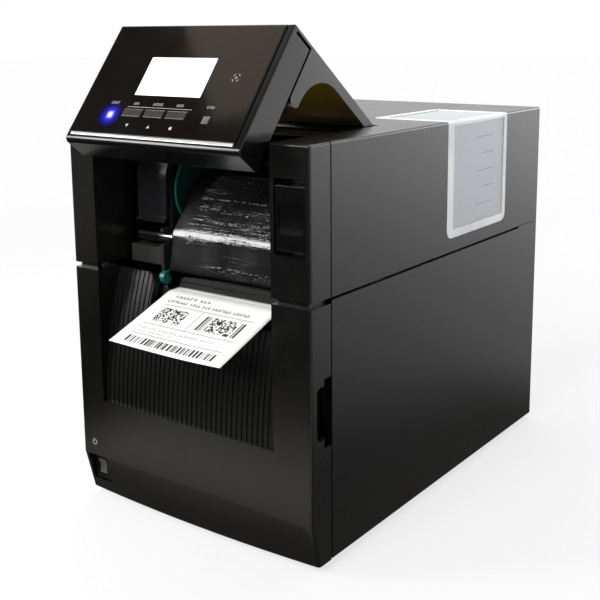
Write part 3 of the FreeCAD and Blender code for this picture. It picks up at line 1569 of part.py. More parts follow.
def panel_housing():
    """The box behind the operator panel, with its raised rim and lower lip."""
    low = panel_bottom_z - panel_chin
    face = box(hood_left, hood_right, hood_face_y, hood_face_y + bezel_depth, low,
               housing_height)
    deep_top = housing_height - hood_sheet - shadow_gap
    deep = box(hood_left, hood_right, hood_face_y + bezel_depth, panel_back_y, low, deep_top)
    tie = box(hood_left + shadow_inset, hood_right - shadow_inset, hood_face_y + bezel_depth,
              panel_back_y, deep_top - 1, housing_height - hood_sheet)
    body = join([face, deep, tie])

    def lower_lip(edge):
        return edge.XLength > 100 and near(edge.YMin, hood_face_y) and near(edge.ZMin, low)

    def soft_edges(edge):
        at_face = near(edge.YMin, hood_face_y) and near(edge.YMax, hood_face_y)
        upright = at_face and edge.ZLength > 50
        ridge = at_face and near(edge.ZMin, housing_height)
        back_low = (edge.XLength > 100 and near(edge.YMin, panel_back_y)
                    and near(edge.ZMin, low))
        return upright or ridge or back_low
    body = round_edges(body, chin_radius, lower_lip)
    body = round_edges(body, 1.0, soft_edges)
    hollow = box(hood_left + panel_wall, hood_right - panel_wall,
                 hood_face_y + glass_seat + front_skin, panel_back_y - panel_wall,
                 panel_bottom_z + panel_wall, deep_top - panel_wall)
    body = body.cut(hollow)
    body = body.cut(panel_box(glass_left - fit, glass_right + fit, -1, glass_seat,
                              glass_bottom - fit, glass_top + fit))
    body = body.cut(panel_box(strip_left - fit, strip_right + fit, -1, strip_seat,
                              strip_bottom - fit, glass_bottom))
    body = body.cut(panel_box(groove_x, groove_x + groove_width, -1, groove_depth,
                              strip_bottom + 1.4, panel_height + 1))
    for hole in panel_openings(fit, glass_seat - 1, glass_seat + front_skin + 0.5, True):
        body = body.cut(hole)
    boss_x = hood_right
    boss = panel_box(boss_x - 0.5, boss_x + side_boss_height, side_boss_u - side_boss_size / 2,
                     side_boss_u + side_boss_size / 2,
                     panel_height - side_boss_v - side_boss_size / 2,
                     panel_height - side_boss_v + side_boss_size / 2)
    posts = []
    for x in (hood_left + 14, hood_right - 14):
        for s in (14.0, panel_height - 16):
            posts.append(panel_box(x - 3, x + 3, board_depth_in_panel + board_thickness,
                                   panel_depth - panel_wall + 0.5, s - 3, s + 3))
    return raised(join([body, boss] + posts))


def panel_glass():
    plate = panel_box(glass_left, glass_right, 0, glass_thickness, glass_bottom, glass_top)
    for hole in panel_openings(fit, -1, glass_thickness + 1, False):
        plate = plate.cut(hole)
    return raised(plate)


def lcd_module():
    """The screen with the panel's circuit board behind it."""
    window = panel_box(screen_left, screen_right, 0.2, glass_seat + front_skin, screen_bottom,
                       screen_top)
    m = screen_body_margin
    body = panel_box(screen_left - m, screen_right + m, glass_seat + front_skin,
                     board_depth_in_panel, screen_bottom - m, screen_top + m)
    board = panel_box(hood_left + 6, hood_right - 6, board_depth_in_panel,
                      board_depth_in_panel + board_thickness, 8, panel_height - 10)
    return raised(Part.makeCompound([join([window, body]), board]))


def trim_strip():
    bar = panel_box(strip_left, strip_right, -strip_proud, strip_seat, strip_bottom, strip_top)

    def long_front(edge):
        return edge.XLength > 50 and near(edge.YMax, hood_face_y - strip_proud)
    return raised(round_edges(bar, 0.4, long_front))


def status_lenses():
    lenses = []
    for x in (power_lens_x, error_lens_x):
        lenses.append(raised(panel_box(x - lens_width / 2, x + lens_width / 2, -lens_proud,
                                       board_depth_in_panel, lens_s - lens_height / 2,
                                       lens_s + lens_height / 2)))
    return Part.makeCompound(lenses)


def panel_key(x):
    cap = panel_box(x - key_width / 2, x + key_width / 2, -key_proud, key_thickness - key_proud,
                    key_bottom, key_bottom + key_height)

    def rim(edge):
        return near(edge.YMax, hood_face_y - key_proud)
    cap = round_edges(cap, 0.5, rim)
    stem = panel_box(x - key_stem_half, x + key_stem_half, 0.5, key_stem_end, key_bottom + 1.2,
                     key_bottom + key_height - 1.2)
    return raised(join([cap, stem]))


def hood_web_piece(x0, x1):
    """A side web of the hood: rounded tip, arch and the band along the flap."""
    y = hood_face_y + web_front
    top = housing_height - hood_sheet
    tip_z = housing_height - web_tip_v
    tip_right = y + 2 * web_tip_radius
    band_z = housing_height - band_height
    arch_z = band_z - arch_radius
    k = arch_radius * math.sqrt(0.5)

    def p(a, b):
        return V(x0, a, b)

    def line(a, b):
        return Part.LineSegment(a, b).toShape()
    corners = [p(y, top), p(y, tip_z), p(tip_right, tip_z), p(tip_right, arch_z),
               p(tip_right + arch_radius, band_z), p(hood_axis_y, band_z), p(hood_axis_y, top)]
    tip_low = p(y + web_tip_radius, tip_z - web_tip_radius)
    arch_middle = p(tip_right + arch_radius - k, arch_z + k)
    wire = Part.Wire([line(corners[0], corners[1]),
                      Part.Arc(corners[1], tip_low, corners[2]).toShape(),
                      line(corners[2], corners[3]),
                      Part.Arc(corners[3], arch_middle, corners[4]).toShape(),
                      line(corners[4], corners[5]), line(corners[5], corners[6]),
                      line(corners[6], corners[0])])
    return Part.Face(wire).extrude(V(x1 - x0, 0, 0))


def hood_flap():
    """The hood's top sheet with its side webs, hinge tube and stub axles."""
    sheet = box(hood_left, hood_right, hood_face_y + bezel_depth, hood_axis_y,
                housing_height - hood_sheet, housing_height)
    tube = rod_x(hood_tube_radius, hood_left, hood_right, hood_axis_y, hood_axis_z)
    left = hood_web_piece(hood_left, hood_left + hood_web)
    right = hood_web_piece(hood_right - hood_web, hood_right)
    stubs = rod_x(hood_stub_radius, bay_left - cover_wall + fit, hood_left + 1, hood_axis_y,
                  hood_axis_z)
    stub_right = rod_x(hood_stub_radius, hood_right - 1, bay_right + cover_wall - fit,
                       hood_axis_y, hood_axis_z)
    return raised(join([sheet, tube, left, right, stubs, stub_right]))


def build():
    """Every node of the printer by name."""
    nodes = {
        "base_chassis": base_chassis(),
        "rubber_feet": rubber_feet(),
        "centre_frame": centre_frame(),
        "outer_mech_plate": outer_mech_plate(),
        "front_cover": front_cover(),
        "left_side_cover": side_panel(-1),
        "rear_cover": rear_cover(),
        "ribbed_front_plate": ribbed_front_plate(),
        "power_inlet": power_inlet(),
        "interface_ports": interface_ports(),
        "main_board": main_board(),
        "power_supply": power_supply(),
        "power_switch_bezel": power_switch_bezel(),
        "power_switch_rocker": power_switch_rocker(),
        "tear_bar": tear_bar(),
        "platen_bearings": platen_bearings(),
        "platen_shaft": platen_shaft(),
        "platen_roller": platen_roller(),
        "idler_gear": idler_gear(),
        "motor_pinion": motor_pinion(),
        "feed_motor": feed_motor(),
        "guide_shafts": guide_shafts(),
        "media_feed_plate": media_feed_plate(),
        "media_web": media_web(),
        "printed_label": printed_label(),
        "ribbon_film": ribbon_film(),
        "takeup_spindle": takeup_spindle(),
        "takeup_flange": takeup_flange(),
        "takeup_roll": takeup_roll(),
        "supply_spindle": supply_spindle(),
        "supply_roll": supply_roll(),
        "ribbon_drive_cover": ribbon_drive_cover(),
        "head_side_block": head_side_block(),
        "print_head_block": print_head_block(),
        "thermal_head": thermal_head(),
        "head_lever": head_lever(),
        "media_shaft": media_shaft(),
        "media_hub": media_hub(),
        "media_roll": media_roll(),
        "media_flange": media_flange(),
        "media_guide": media_guide(),
        "hinge_brackets": hinge_brackets(),
        "hinge_pins": hinge_pins(),
        "cover_screws": cover_screws(),
        "side_door": side_door(),
        "top_cover": top_cover(),
        "top_window": top_window(),
        "cover_hinge_leaves": cover_hinge_leaves(),
        "open_button": open_button(),
        "latch_hook": latch_hook(),
        "hood_flap": hood_flap(),
        "panel_housing": panel_housing(),
        "panel_glass": panel_glass(),
        "lcd_module": lcd_module(),
        "trim_strip": trim_strip(),
        "status_lenses": status_lenses(),
    }
    for name, x in zip(("key_left", "key_middle", "key_right"), key_centres()):
        nodes[name] = panel_key(x)
    return nodes


def write(nodes):
    os.makedirs("parts", exist_ok=True)
    for name, shape in nodes.items():
        placed = shape.copy()
        placed.translate(V(0, origin_shift_y, foot_height))
        placed.exportStep("parts/" + name + ".step")


write(build())
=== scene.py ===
"""Looks of a desktop label printer with a raised operator hood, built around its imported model."""
from __future__ import annotations

import json
import logging
import math
import random
from dataclasses import dataclass, field
from enum import Enum
from functools import reduce
from typing import Callable, Iterable, NamedTuple, Sequence

import bpy
from mathutils import Matrix, Vector, noise

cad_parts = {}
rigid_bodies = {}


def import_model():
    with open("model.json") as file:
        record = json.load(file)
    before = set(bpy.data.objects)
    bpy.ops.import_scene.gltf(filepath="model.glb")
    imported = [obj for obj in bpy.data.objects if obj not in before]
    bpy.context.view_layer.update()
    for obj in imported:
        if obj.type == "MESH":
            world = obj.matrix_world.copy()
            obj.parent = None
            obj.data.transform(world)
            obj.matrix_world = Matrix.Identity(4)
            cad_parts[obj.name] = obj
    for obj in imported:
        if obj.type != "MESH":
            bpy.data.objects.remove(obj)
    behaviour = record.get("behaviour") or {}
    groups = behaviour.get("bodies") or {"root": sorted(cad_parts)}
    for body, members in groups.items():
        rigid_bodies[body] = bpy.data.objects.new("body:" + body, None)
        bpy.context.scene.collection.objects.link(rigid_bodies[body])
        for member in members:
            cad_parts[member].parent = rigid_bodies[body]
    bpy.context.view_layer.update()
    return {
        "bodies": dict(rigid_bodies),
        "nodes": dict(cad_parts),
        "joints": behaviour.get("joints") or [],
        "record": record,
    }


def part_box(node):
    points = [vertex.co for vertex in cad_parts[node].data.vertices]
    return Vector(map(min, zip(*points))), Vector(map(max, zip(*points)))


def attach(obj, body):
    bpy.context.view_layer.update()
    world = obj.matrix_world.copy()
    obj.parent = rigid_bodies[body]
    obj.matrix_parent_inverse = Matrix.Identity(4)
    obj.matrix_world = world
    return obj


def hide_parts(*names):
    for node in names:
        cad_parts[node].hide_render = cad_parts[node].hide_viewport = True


LOG = logging.getLogger("label_printer")
Colour = tuple[float, float, float]
Point = tuple[float, float, float]
Pair = tuple[float, float]
Stretch = tuple[float, float, float, float]
Socket = bpy.types.NodeSocket

RIGHTWARD: Point = (1.0, 0.0, 0.0)
LEFTWARD: Point = (-1.0, 0.0, 0.0)
BACKWARD: Point = (0.0, 1.0, 0.0)
UPWARD: Point = (0.0, 0.0, 1.0)
ORIGIN = Vector((0.0, 0.0, 0.0))
WHITE: Colour = (1.0, 1.0, 1.0)
FULL_TURN = 2 * math.pi
# Smooth noise lies between these two values nearly everywhere.
NOISE_CORE: Pair = (0.3, 0.7)
# How thick printed ink lies on the label, in metres.
INK = 0.00001


class Side(Enum):
    """Left or right as seen from the front."""

    LEFT = -1
    RIGHT = 1


class Band(Enum):
    """How fine a grain is along X, Y and Z, as shares of its fineness."""

    EVEN = (1.0, 1.0, 1.0)
    ALONG_X = (0.06, 1.0, 1.0)
    ALONG_Y = (1.0, 0.06, 1.0)
    ALONG_Z = (1.0, 1.0, 0.06)
    DASHES = (0.65, 1.0, 1.0)


@dataclass(frozen=True)
class Grain:
    """A smooth noise: spots to a metre, octaves, and the band of it that counts from 0 to 1."""

    per_metre: float
    detail: float = 2.0
    band: Band = Band.EVEN
    distortion: float = 0.0
    core: Pair = NOISE_CORE


@dataclass(frozen=True)
class Drawing:
    """Turns the drawing's millimetres into metres in the printer's frame."""

    back_shift: float = 175.35
    foot_height: float = 6.0
    hood_axis_y: float = 137.0
    hood_axis_z: float = 304.5
    hood_angle: float = 37.7
    panel_face_y: float = 5.5
    panel_foot_z: float = 205.2

    def point(self, x: float, y: float, z: float) -> Vector:
        """A drawing point in metres.

        Args:
            x: Millimetres to the right.
            y: Millimetres back from the housing's front face.
            z: Millimetres up from the housing's lower edge.

        Returns:
            The point in the printer's frame.
        """
        return Vector((x, y - self.back_shift, z + self.foot_height)) / 1000.0

    def on_panel(self, x: float, depth: float, up: float) -> Vector:
        """A point on the raised operator panel.

        Args:
            x: Millimetres to the right.
            depth: Millimetres behind the panel's face, negative in front of it.
            up: Millimetres up the panel from its lower edge.

        Returns:
            The point in the printer's frame.
        """
        turn = math.radians(-self.hood_angle)
        back = self.panel_face_y + depth - self.hood_axis_y
        rise = self.panel_foot_z + up - self.hood_axis_z
        y = self.hood_axis_y + math.cos(turn) * back - math.sin(turn) * rise
        z = self.hood_axis_z + math.sin(turn) * back + math.cos(turn) * rise
        return self.point(x, y, z)

    def panel_inward(self) -> Vector:
        """The direction into the raised panel."""
        turn = math.radians(-self.hood_angle)
        return Vector((0.0, math.cos(turn), math.sin(turn)))


DRAWING = Drawing()


def shaded(colour: Colour, share: float) -> Colour:
    """A colour made darker or lighter by one factor."""
    return tuple(channel * share for channel in colour)


class NodeWork:
    """Draws the nodes of one tree.

    A mix node has inputs A and B of every kind, which only their numbers tell apart.
    """

    MIX_NUMBERS = (2, 3)
    MIX_COLOURS = (6, 7)
    MIXED_COLOUR = 2

    def __init__(self, tree: bpy.types.NodeTree) -> None:
        """Empties the tree.

        Args:
            tree: The tree of a material or of the world.
        """
        self.nodes = tree.nodes
        self.links = tree.links
        self.nodes.clear()

    def feed(self, socket: Socket, value: float | Colour | Vector | Socket) -> None:
        """Gives one input a socket or a plain value.

        Args:
            socket: The input.
            value: What it gets.
        """
        if isinstance(value, bpy.types.NodeSocket):
            self.links.new(value, socket)
        elif isinstance(value, Vector):
            socket.default_value = tuple(value)
        elif isinstance(value, tuple) and len(value) == 3 and len(socket.default_value) == 4:
            socket.default_value = (*value, 1.0)
        else:
            socket.default_value = value

    def math(self, operation: str, a: float | Socket, b: float | Socket = 0.0) -> Socket:
        """One arithmetic step.

        Args:
            operation: The node's operation name.
            a: The first number or socket.
            b: The second number or socket.

        Returns:
            The result.
        """
        node = self.nodes.new("ShaderNodeMath")
        node.operation = operation
        self.feed(node.inputs[0], a)
        self.feed(node.inputs[1], b)
        return node.outputs[0]

    def product(self, *values: float | Socket) -> Socket:
        """Several values multiplied."""
        return reduce(lambda a, b: self.math("MULTIPLY", a, b), values)

    def total(self, *values: float | Socket) -> Socket:
        """Several values added."""
        return reduce(lambda a, b: self.math("ADD", a, b), values)

    def largest(self, *values: float | Socket) -> Socket:
        """The largest of several values."""
        return reduce(lambda a, b: self.math("MAXIMUM", a, b), values)

    def inverse(self, share: Socket) -> Socket:
        """What a share leaves of 1."""
        return self.math("SUBTRACT", 1.0, share)

    def span(self, value: Socket, low: float, high: float, to_low: float = 0.0,
             to_high: float = 1.0, smooth: bool = False) -> Socket:
        """A value carried from one range to another and kept inside it.

        Args:
            value: The value.
            low: Where the result is to_low.
            high: Where the result is to_high.
            to_low: The result's first end.
            to_high: The result's second end.
            smooth: Whether the change eases in and out.

        Returns:
            The new value.
        """
        node = self.nodes.new("ShaderNodeMapRange")
        if smooth:
            node.interpolation_type = "SMOOTHSTEP"
        self.feed(node.inputs["Value"], value)
        for name, number in (("From Min", low), ("From Max", high), ("To Min", to_low),
                             ("To Max", to_high)):
            node.inputs[name].default_value = number
        return node.outputs[0]

    def blend(self, share: float | Socket, a: Colour | Socket, b: Colour | Socket) -> Socket:
        """A colour between two others.

        Args:
            share: How much of the second there is.
            a: The first colour.
            b: The second colour.

        Returns:
            The colour.
        """
        node = self.nodes.new("ShaderNodeMix")
        node.data_type = "RGBA"
        first, second = self.MIX_COLOURS
        self.feed(node.inputs[0], share)
        self.feed(node.inputs[first], a)
        self.feed(node.inputs[second], b)
        return node.outputs[self.MIXED_COLOUR]

    def choose(self, share: Socket, no: float | Socket, yes: float | Socket) -> Socket:
        """One number where a share is 0 and another where it is 1.

        Args:
            share: The share.
            no: The number at 0.
            yes: The number at 1.

        Returns:
            The mixed number.
        """
        node = self.nodes.new("ShaderNodeMix")
        first, second = self.MIX_NUMBERS
        self.feed(node.inputs[0], share)
        self.feed(node.inputs[first], no)
        self.feed(node.inputs[second], yes)
        return node.outputs[0]


class Pen(NodeWork):
    """Draws the nodes of one material."""

    def __init__(self, name: str) -> None:
        """Starts a material with a plain shader.

        Args:
            name: The material's name.
        """
        self.material = bpy.data.materials.new(name)
        self.material.use_nodes = True
        super().__init__(self.material.node_tree)
        self.output = self.nodes.new("ShaderNodeOutputMaterial")
        self.shader = self.nodes.new("ShaderNodeBsdfPrincipled")
        self.links.new(self.shader.outputs[0], self.output.inputs["Surface"])
        self.place = self.nodes.new("ShaderNodeTexCoord").outputs["Object"]
        self.drawn: dict[Grain, Socket] = {}

    def set(self, **values: float | Colour | Socket) -> None:
        """Sets or links sockets of the shader.

        Args:
            values: Socket names with underscores for spaces, with a number, a colour or a socket.
        """
        for key, value in values.items():
            self.feed(self.shader.inputs[key.replace("_", " ")], value)

    def noise(self, grain: Grain) -> Socket:
        """A grain's noise from 0 to 1, drawn once in each material.

        Args:
            grain: The grain.

        Returns:
            The noise.
        """
        if grain not in self.drawn:
            stretched = self.nodes.new("ShaderNodeMapping")
            stretched.inputs["Scale"].default_value = grain.band.value
            self.links.new(self.place, stretched.inputs["Vector"])
            node = self.nodes.new("ShaderNodeTexNoise")
            node.inputs["Scale"].default_value = grain.per_metre
            node.inputs["Detail"].default_value = grain.detail
            node.inputs["Distortion"].default_value = grain.distortion
            self.links.new(stretched.outputs[0], node.inputs["Vector"])
            self.drawn[grain] = node.outputs["Fac"]
        return self.drawn[grain]

    def spread(self, grain: Grain, to_low: float = 0.0, to_high: float = 1.0) -> Socket:
        """A grain's noise with its core carried to a range.

        Args:
            grain: The grain.
            to_low: The result at the core's lower end.
            to_high: The result at the core's upper end.

        Returns:
            The new value.
        """
        return self.span(self.noise(grain), *grain.core, to_low, to_high)

    def cells(self, per_metre: float) -> Socket:
        """The distance to the nearest of many scattered points.

        Args:
            per_metre: How many points there are to a metre.

        Returns:
            The distance, as a share of the points' spacing.
        """
        node = self.nodes.new("ShaderNodeTexVoronoi")
        node.inputs["Scale"].default_value = per_metre
        self.links.new(self.place, node.inputs["Vector"])
        return node.outputs["Distance"]

    def bump(self, height: Socket, depth: float, strength: float = 1.0,
             normal: Socket | None = None) -> Socket:
        """A normal from a height.

        Args:
            height: The height from 0 to 1.
            depth: How deep 1 is, in metres.
            strength: How strongly it counts.
            normal: A normal that this one is added to.

        Returns:
            The normal.
        """
        node = self.nodes.new("ShaderNodeBump")
        node.inputs["Distance"].default_value = depth
        node.inputs["Strength"].default_value = strength
        self.links.new(height, node.inputs["Height"])
        if normal is not None:
            self.links.new(normal, node.inputs["Normal"])
        return node.outputs[0]

    def along(self, direction: Sequence[float], origin: Vector = ORIGIN) -> Socket:
        """The distance of a point along a direction, in metres.

        Args:
            direction: The direction, of length 1.
            origin: Where the distance is 0.

        Returns:
            The distance.
        """
        node = self.nodes.new("ShaderNodeVectorMath")
        node.operation = "DOT_PRODUCT"
        self.links.new(self.place, node.inputs[0])
        node.inputs[1].default_value = tuple(direction)
        return self.math("SUBTRACT", node.outputs["Value"], Vector(direction).dot(origin))

    def past(self, direction: Sequence[float], origin: Vector, soft: float = 0.00005) -> Socket:
        """1 beyond a plane and 0 before it.

        Args:
            direction: The plane's normal.
            origin: A point of the plane.
            soft: Half the width of the change, in metres.

        Returns:
            The mask.
        """
        return self.span(self.along(direction, origin), -soft, soft)

    def right_of(self, x: float) -> Socket:
        """1 to the right of a place on the X axis and 0 to its left."""
        return self.past(RIGHTWARD, Vector((x, 0.0, 0.0)))

    def left_of(self, x: float) -> Socket:
        """1 to the left of a place on the X axis and 0 to its right."""
        return self.inverse(self.right_of(x))

    def from_line(self, origin: Vector) -> Socket:
        """The distance from a line along X through a point, in metres.

        Args:
            origin: A point of the line.

        Returns:
            The distance.
        """
        rise = self.along(UPWARD, origin)
        back = self.along(BACKWARD, origin)
        return self.math("SQRT", self.total(self.product(rise, rise), self.product(back, back)))

    def from_point(self, origin: Vector) -> Socket:
        """The distance from a point, in metres.

        Args:
            origin: The point.

        Returns:
            The distance.
        """
        node = self.nodes.new("ShaderNodeVectorMath")
        node.operation = "DISTANCE"
        self.links.new(self.place, node.inputs[0])
        node.inputs[1].default_value = tuple(origin)
        return node.outputs["Value"]

    def waves(self, distance: Socket, pitch: float, crest: float = 1.0) -> Socket:
        """Even waves over a distance, from 0 up to their crest.

        Args:
            distance: The distance in metres.
            pitch: From one wave to the next, in metres.
            crest: The value at a wave's top.

        Returns:
            The waves.
        """
        return self.span(self.math("SINE", self.product(distance, FULL_TURN / pitch)),
                         -1.0, 1.0, 0.0, crest)


@dataclass(frozen=True)
class Finish:
    """A surface finish that can be built as a material."""

    name: str

    def build(self) -> bpy.types.Material:
        """The finish as a Blender material.

        Returns:
            The new material.
        """
        pen = Pen(self.name)
        self.draw(pen)
        return pen.material

    def draw(self, pen: Pen) -> None:
        """Draws the finish's nodes.

        Args:
            pen: The pen of a new material.
        """
        raise NotImplementedError


@dataclass(frozen=True)
class MouldedPlastic(Finish):
    """Moulded plastic with a spark-eroded grain, faint flow marks and handling shine."""

    colour: Colour
    roughness: float = 0.4
    grain_depth: float = 0.00002
    shine: float = 0.5
    tint: float = 0.15
    clouds: Grain = Grain(9.0, 3.0)
    erosion: Grain = Grain(2600.0, 3.0)
    specks_per_metre: float = 1820.0
    grain_strength: float = 0.6
    handling: Grain = Grain(28.0, 5.0, distortion=0.6, core=(0.35, 0.7))
    untouched_rise: float = 0.015
    worn_drop: float = 0.02
    erosion_change: float = 0.02
    flow: Grain = Grain(14.0, 1.0)
    flow_depth: float = 0.00002

    def draw(self, pen: Pen) -> None:
        """Draws the plastic: grain, broad waves, and rubbed patches that shine more.

        Args:
            pen: The pen of a new material.
        """
        worn = pen.span(pen.spread(self.handling), 0.0, 1.0, self.roughness + self.untouched_rise,
                        self.roughness - self.worn_drop)
        rough = pen.total(worn, pen.spread(self.erosion, -self.erosion_change,
                                           self.erosion_change))
        waves = pen.bump(pen.noise(self.flow), self.flow_depth)
        texture = pen.total(pen.noise(self.erosion), pen.cells(self.specks_per_metre))
        grain = pen.bump(texture, self.grain_depth, self.grain_strength, waves)
        body = pen.blend(pen.noise(self.clouds), shaded(self.colour, 1 - self.tint),
                         shaded(self.colour, 1 + self.tint))
        pen.set(Base_Color=body, Roughness=rough, Normal=grain, Specular_IOR_Level=self.shine)


@dataclass(frozen=True)
class PanelFilm(Finish):
    """The dark gloss film of the operator panel, lit round the blue lamp."""

    colour: Colour
    lamp: Vector
    lamp_edge: float = 0.0022
    lamp_reach: float = 0.015
    lamp_falloff: float = 4.0
    spill_colour: Colour = (0.03, 0.03, 1.0)
    spill_strength: float = 2.2
    roughness: float = 0.07
    smudges: Grain = Grain(24.0, 4.0, distortion=0.8, core=(0.4, 0.75))
    smudge_rise: float = 0.05
    smudge_tint: float = 1.5
    wipes: Grain = Grain(700.0, 2.0, Band.ALONG_X, core=(0.35, 0.65))
    wipe_rise: float = 0.03
    dents: Grain = Grain(30.0, 1.0)
    dent_depth: float = 0.00003
    coat_weight: float = 0.4
    coat_roughness: float = 0.05

    def draw(self, pen: Pen) -> None:
        """Draws the film with fine wiping marks and the lamp's blue spill.

        Args:
            pen: The pen of a new material.
        """
        smudge = pen.spread(self.smudges)
        rough = pen.total(pen.span(smudge, 0.0, 1.0, self.roughness,
                                   self.roughness + self.smudge_rise),
                          pen.spread(self.wipes, 0.0, self.wipe_rise))
        near = pen.span(pen.from_point(self.lamp), self.lamp_edge, self.lamp_reach, 1.0, 0.0)
        spill = pen.product(pen.math("POWER", near, self.lamp_falloff), self.spill_strength)
        body = pen.blend(smudge, self.colour, shaded(self.colour, self.smudge_tint))
        pen.set(Base_Color=body, Roughness=rough,
                Normal=pen.bump(pen.noise(self.dents), self.dent_depth),
                Emission_Color=self.spill_colour, Emission_Strength=spill,
                Coat_Weight=self.coat_weight, Coat_Roughness=self.coat_roughness)


@dataclass(frozen=True)
class ShadedDiscWithRimHighlight(Finish):
    """A moulded disc whose face is darkened as painted shade, with a brighter rim as a painted
    highlight.
    """

    # face is the teal darkened as painted shade; rim is a painted highlight along the edge.
    face: Colour
    rim: Colour
    middle: Vector
    rim_from: float
    rim_edge: float = 0.0008
    groove_pitch: float = 0.0016
    groove_share: float = 0.35
    groove_tint: float = 1.5
    groove_depth: float = 0.00002
    polish: Grain = Grain(900.0, 2.0)
    roughness: Pair = (0.34, 0.44)

    def draw(self, pen: Pen) -> None:
        """Draws the turned face in its painted shade and the rim's painted highlight.

        Args:
            pen: The pen of a new material.
        """
        radius = pen.from_line(self.middle)
        at_rim = pen.span(radius, self.rim_from, self.rim_from + self.rim_edge)
        turned = pen.waves(radius, self.groove_pitch, self.groove_share)
        face = pen.blend(turned, self.face, shaded(self.face, self.groove_tint))
        # Painted highlight on the rim, over the face's painted shade.
        pen.set(Base_Color=pen.blend(at_rim, face, self.rim),
                Roughness=pen.spread(self.polish, *self.roughness),
                Normal=pen.bump(turned, self.groove_depth))


@dataclass(frozen=True)
class HoodFlap(MouldedPlastic):
    """The hood's plastic, with a painted warm amber reflection under its rear slope, fading lower
    down.
    """

    # Painted reflection: the warm amber that the flap's downward faces are given.
    warm_reflection_colour: Colour = (0.11, 0.07, 0.006)
    downward: Pair = (-0.3, -0.5)
    inner_x: float = 0.1
    shadow_z: float = 0.318
    shadow_share: float = 0.25
    bright_z: float = 0.346
    slot_z: float = 0.372
    slot_edge: float = 0.002

    def draw(self, pen: Pen) -> None:
        """Draws the plastic, then the painted amber reflection on the faces that look down between
        the webs.

        Args:
            pen: The pen of a new material.
        """
        super().draw(pen)
        facing = pen.nodes.new("ShaderNodeSeparateXYZ")
        normal = pen.nodes.new("ShaderNodeNewGeometry").outputs["Normal"]
        pen.links.new(normal, facing.inputs[0])
        height = pen.along(UPWARD)
        # Painted reflection on the downward faces, fading as painted shade to a quarter of its
        # strength lower down.
        share = pen.product(
            pen.span(facing.outputs["Z"], *self.downward),
            pen.span(height, self.shadow_z, self.bright_z, self.shadow_share, 1.0),
            pen.span(height, self.slot_z, self.slot_z + self.slot_edge, 1.0, 0.0),
            pen.left_of(self.inner_x), pen.right_of(-self.inner_x))
        plain = pen.shader.inputs["Base Color"].links[0].from_socket
        pen.set(Base_Color=pen.blend(share, plain, self.warm_reflection_colour))


@dataclass(frozen=True)
class FrostedWindow(Finish):
    """Frosted pale plastic: a smoky pane inside a whiter moulded rim."""

    rim: Colour
    pane: Colour
    side_pane_x: float = 0.1186
    roof_pane_z: float = 0.3146
    clouds: Grain = Grain(16.0, 3.0, core=(0.3, 0.75))
    cloud_share: float = 0.6
    cloud_tint: float = 0.93
    frost: Grain = Grain(3000.0, 2.0)
    frost_depth: float = 0.00001
    roughness: Pair = (0.3, 0.42)
    milkiness: float = 0.25
    milk_radius: Point = (0.004, 0.004, 0.005)
    milk_scale: float = 0.5

    def draw(self, pen: Pen) -> None:
        """Draws the rim and the sunken pane with a milky, slightly cloudy body.

        Args:
            pen: The pen of a new material.
        """
        below_roof = pen.inverse(pen.past(UPWARD, Vector((0.0, 0.0, self.roof_pane_z))))
        sunk = pen.product(pen.left_of(self.side_pane_x), below_roof)
        body = pen.blend(sunk, self.rim, self.pane)
        mixed = pen.blend(pen.spread(self.clouds, 0.0, self.cloud_share), body,
                          shaded(self.pane, self.cloud_tint))
        pen.set(Base_Color=mixed, Roughness=pen.spread(self.frost, *self.roughness),
                Normal=pen.bump(pen.noise(self.frost), self.frost_depth),
                Subsurface_Weight=self.milkiness, Subsurface_Radius=self.milk_radius,
                Subsurface_Scale=self.milk_scale)


@dataclass(frozen=True)
class Metal(Finish):
    """Bare metal with drawn or ground lines along one axis."""

    colour: Colour
    roughness: float = 0.25
    lines: Band = Band.ALONG_X
    line_depth: float = 0.000006
    lines_per_metre: float = 5200.0
    lines_detail: float = 3.0
    line_change: Pair = (-0.03, 0.05)
    stains: Grain = Grain(40.0, 4.0, core=(0.35, 0.75))
    stain_rise: float = 0.08
    stain_tint: float = 0.88

    def draw(self, pen: Pen) -> None:
        """Draws the ground lines, faint stains and a slight change of shine.

        Args:
            pen: The pen of a new material.
        """
        lines = Grain(self.lines_per_metre, self.lines_detail, self.lines)
        stain = pen.spread(self.stains)
        rough = pen.total(pen.span(stain, 0.0, 1.0, self.roughness,
                                   self.roughness + self.stain_rise),
                          pen.spread(lines, *self.line_change))
        pen.set(Base_Color=pen.blend(stain, self.colour, shaded(self.colour, self.stain_tint)),
                Roughness=rough, Metallic=1.0,
                Normal=pen.bump(pen.noise(lines), self.line_depth))


@dataclass(frozen=True)
class CoatedSheet(Finish):
    """Sheet steel under a dark powder coat with an orange-peel surface."""

    colour: Colour
    roughness: Pair = (0.45, 0.55)
    peel: Grain = Grain(520.0, 2.0)
    peel_depth: float = 0.00004
    dust: Grain = Grain(70.0, 5.0, core=(0.45, 0.8))
    dust_share: float = 0.35
    dust_light: float = 0.008

    def draw(self, pen: Pen) -> None:
        """Draws the coat's peel and the dust on it.

        Args:
            pen: The pen of a new material.
        """
        dusty = tuple(channel + self.dust_light for channel in self.colour)
        pen.set(Base_Color=pen.blend(pen.spread(self.dust, 0.0, self.dust_share), self.colour,
                                     dusty),
                Roughness=pen.spread(self.peel, *self.roughness),
                Normal=pen.bump(pen.noise(self.peel), self.peel_depth))


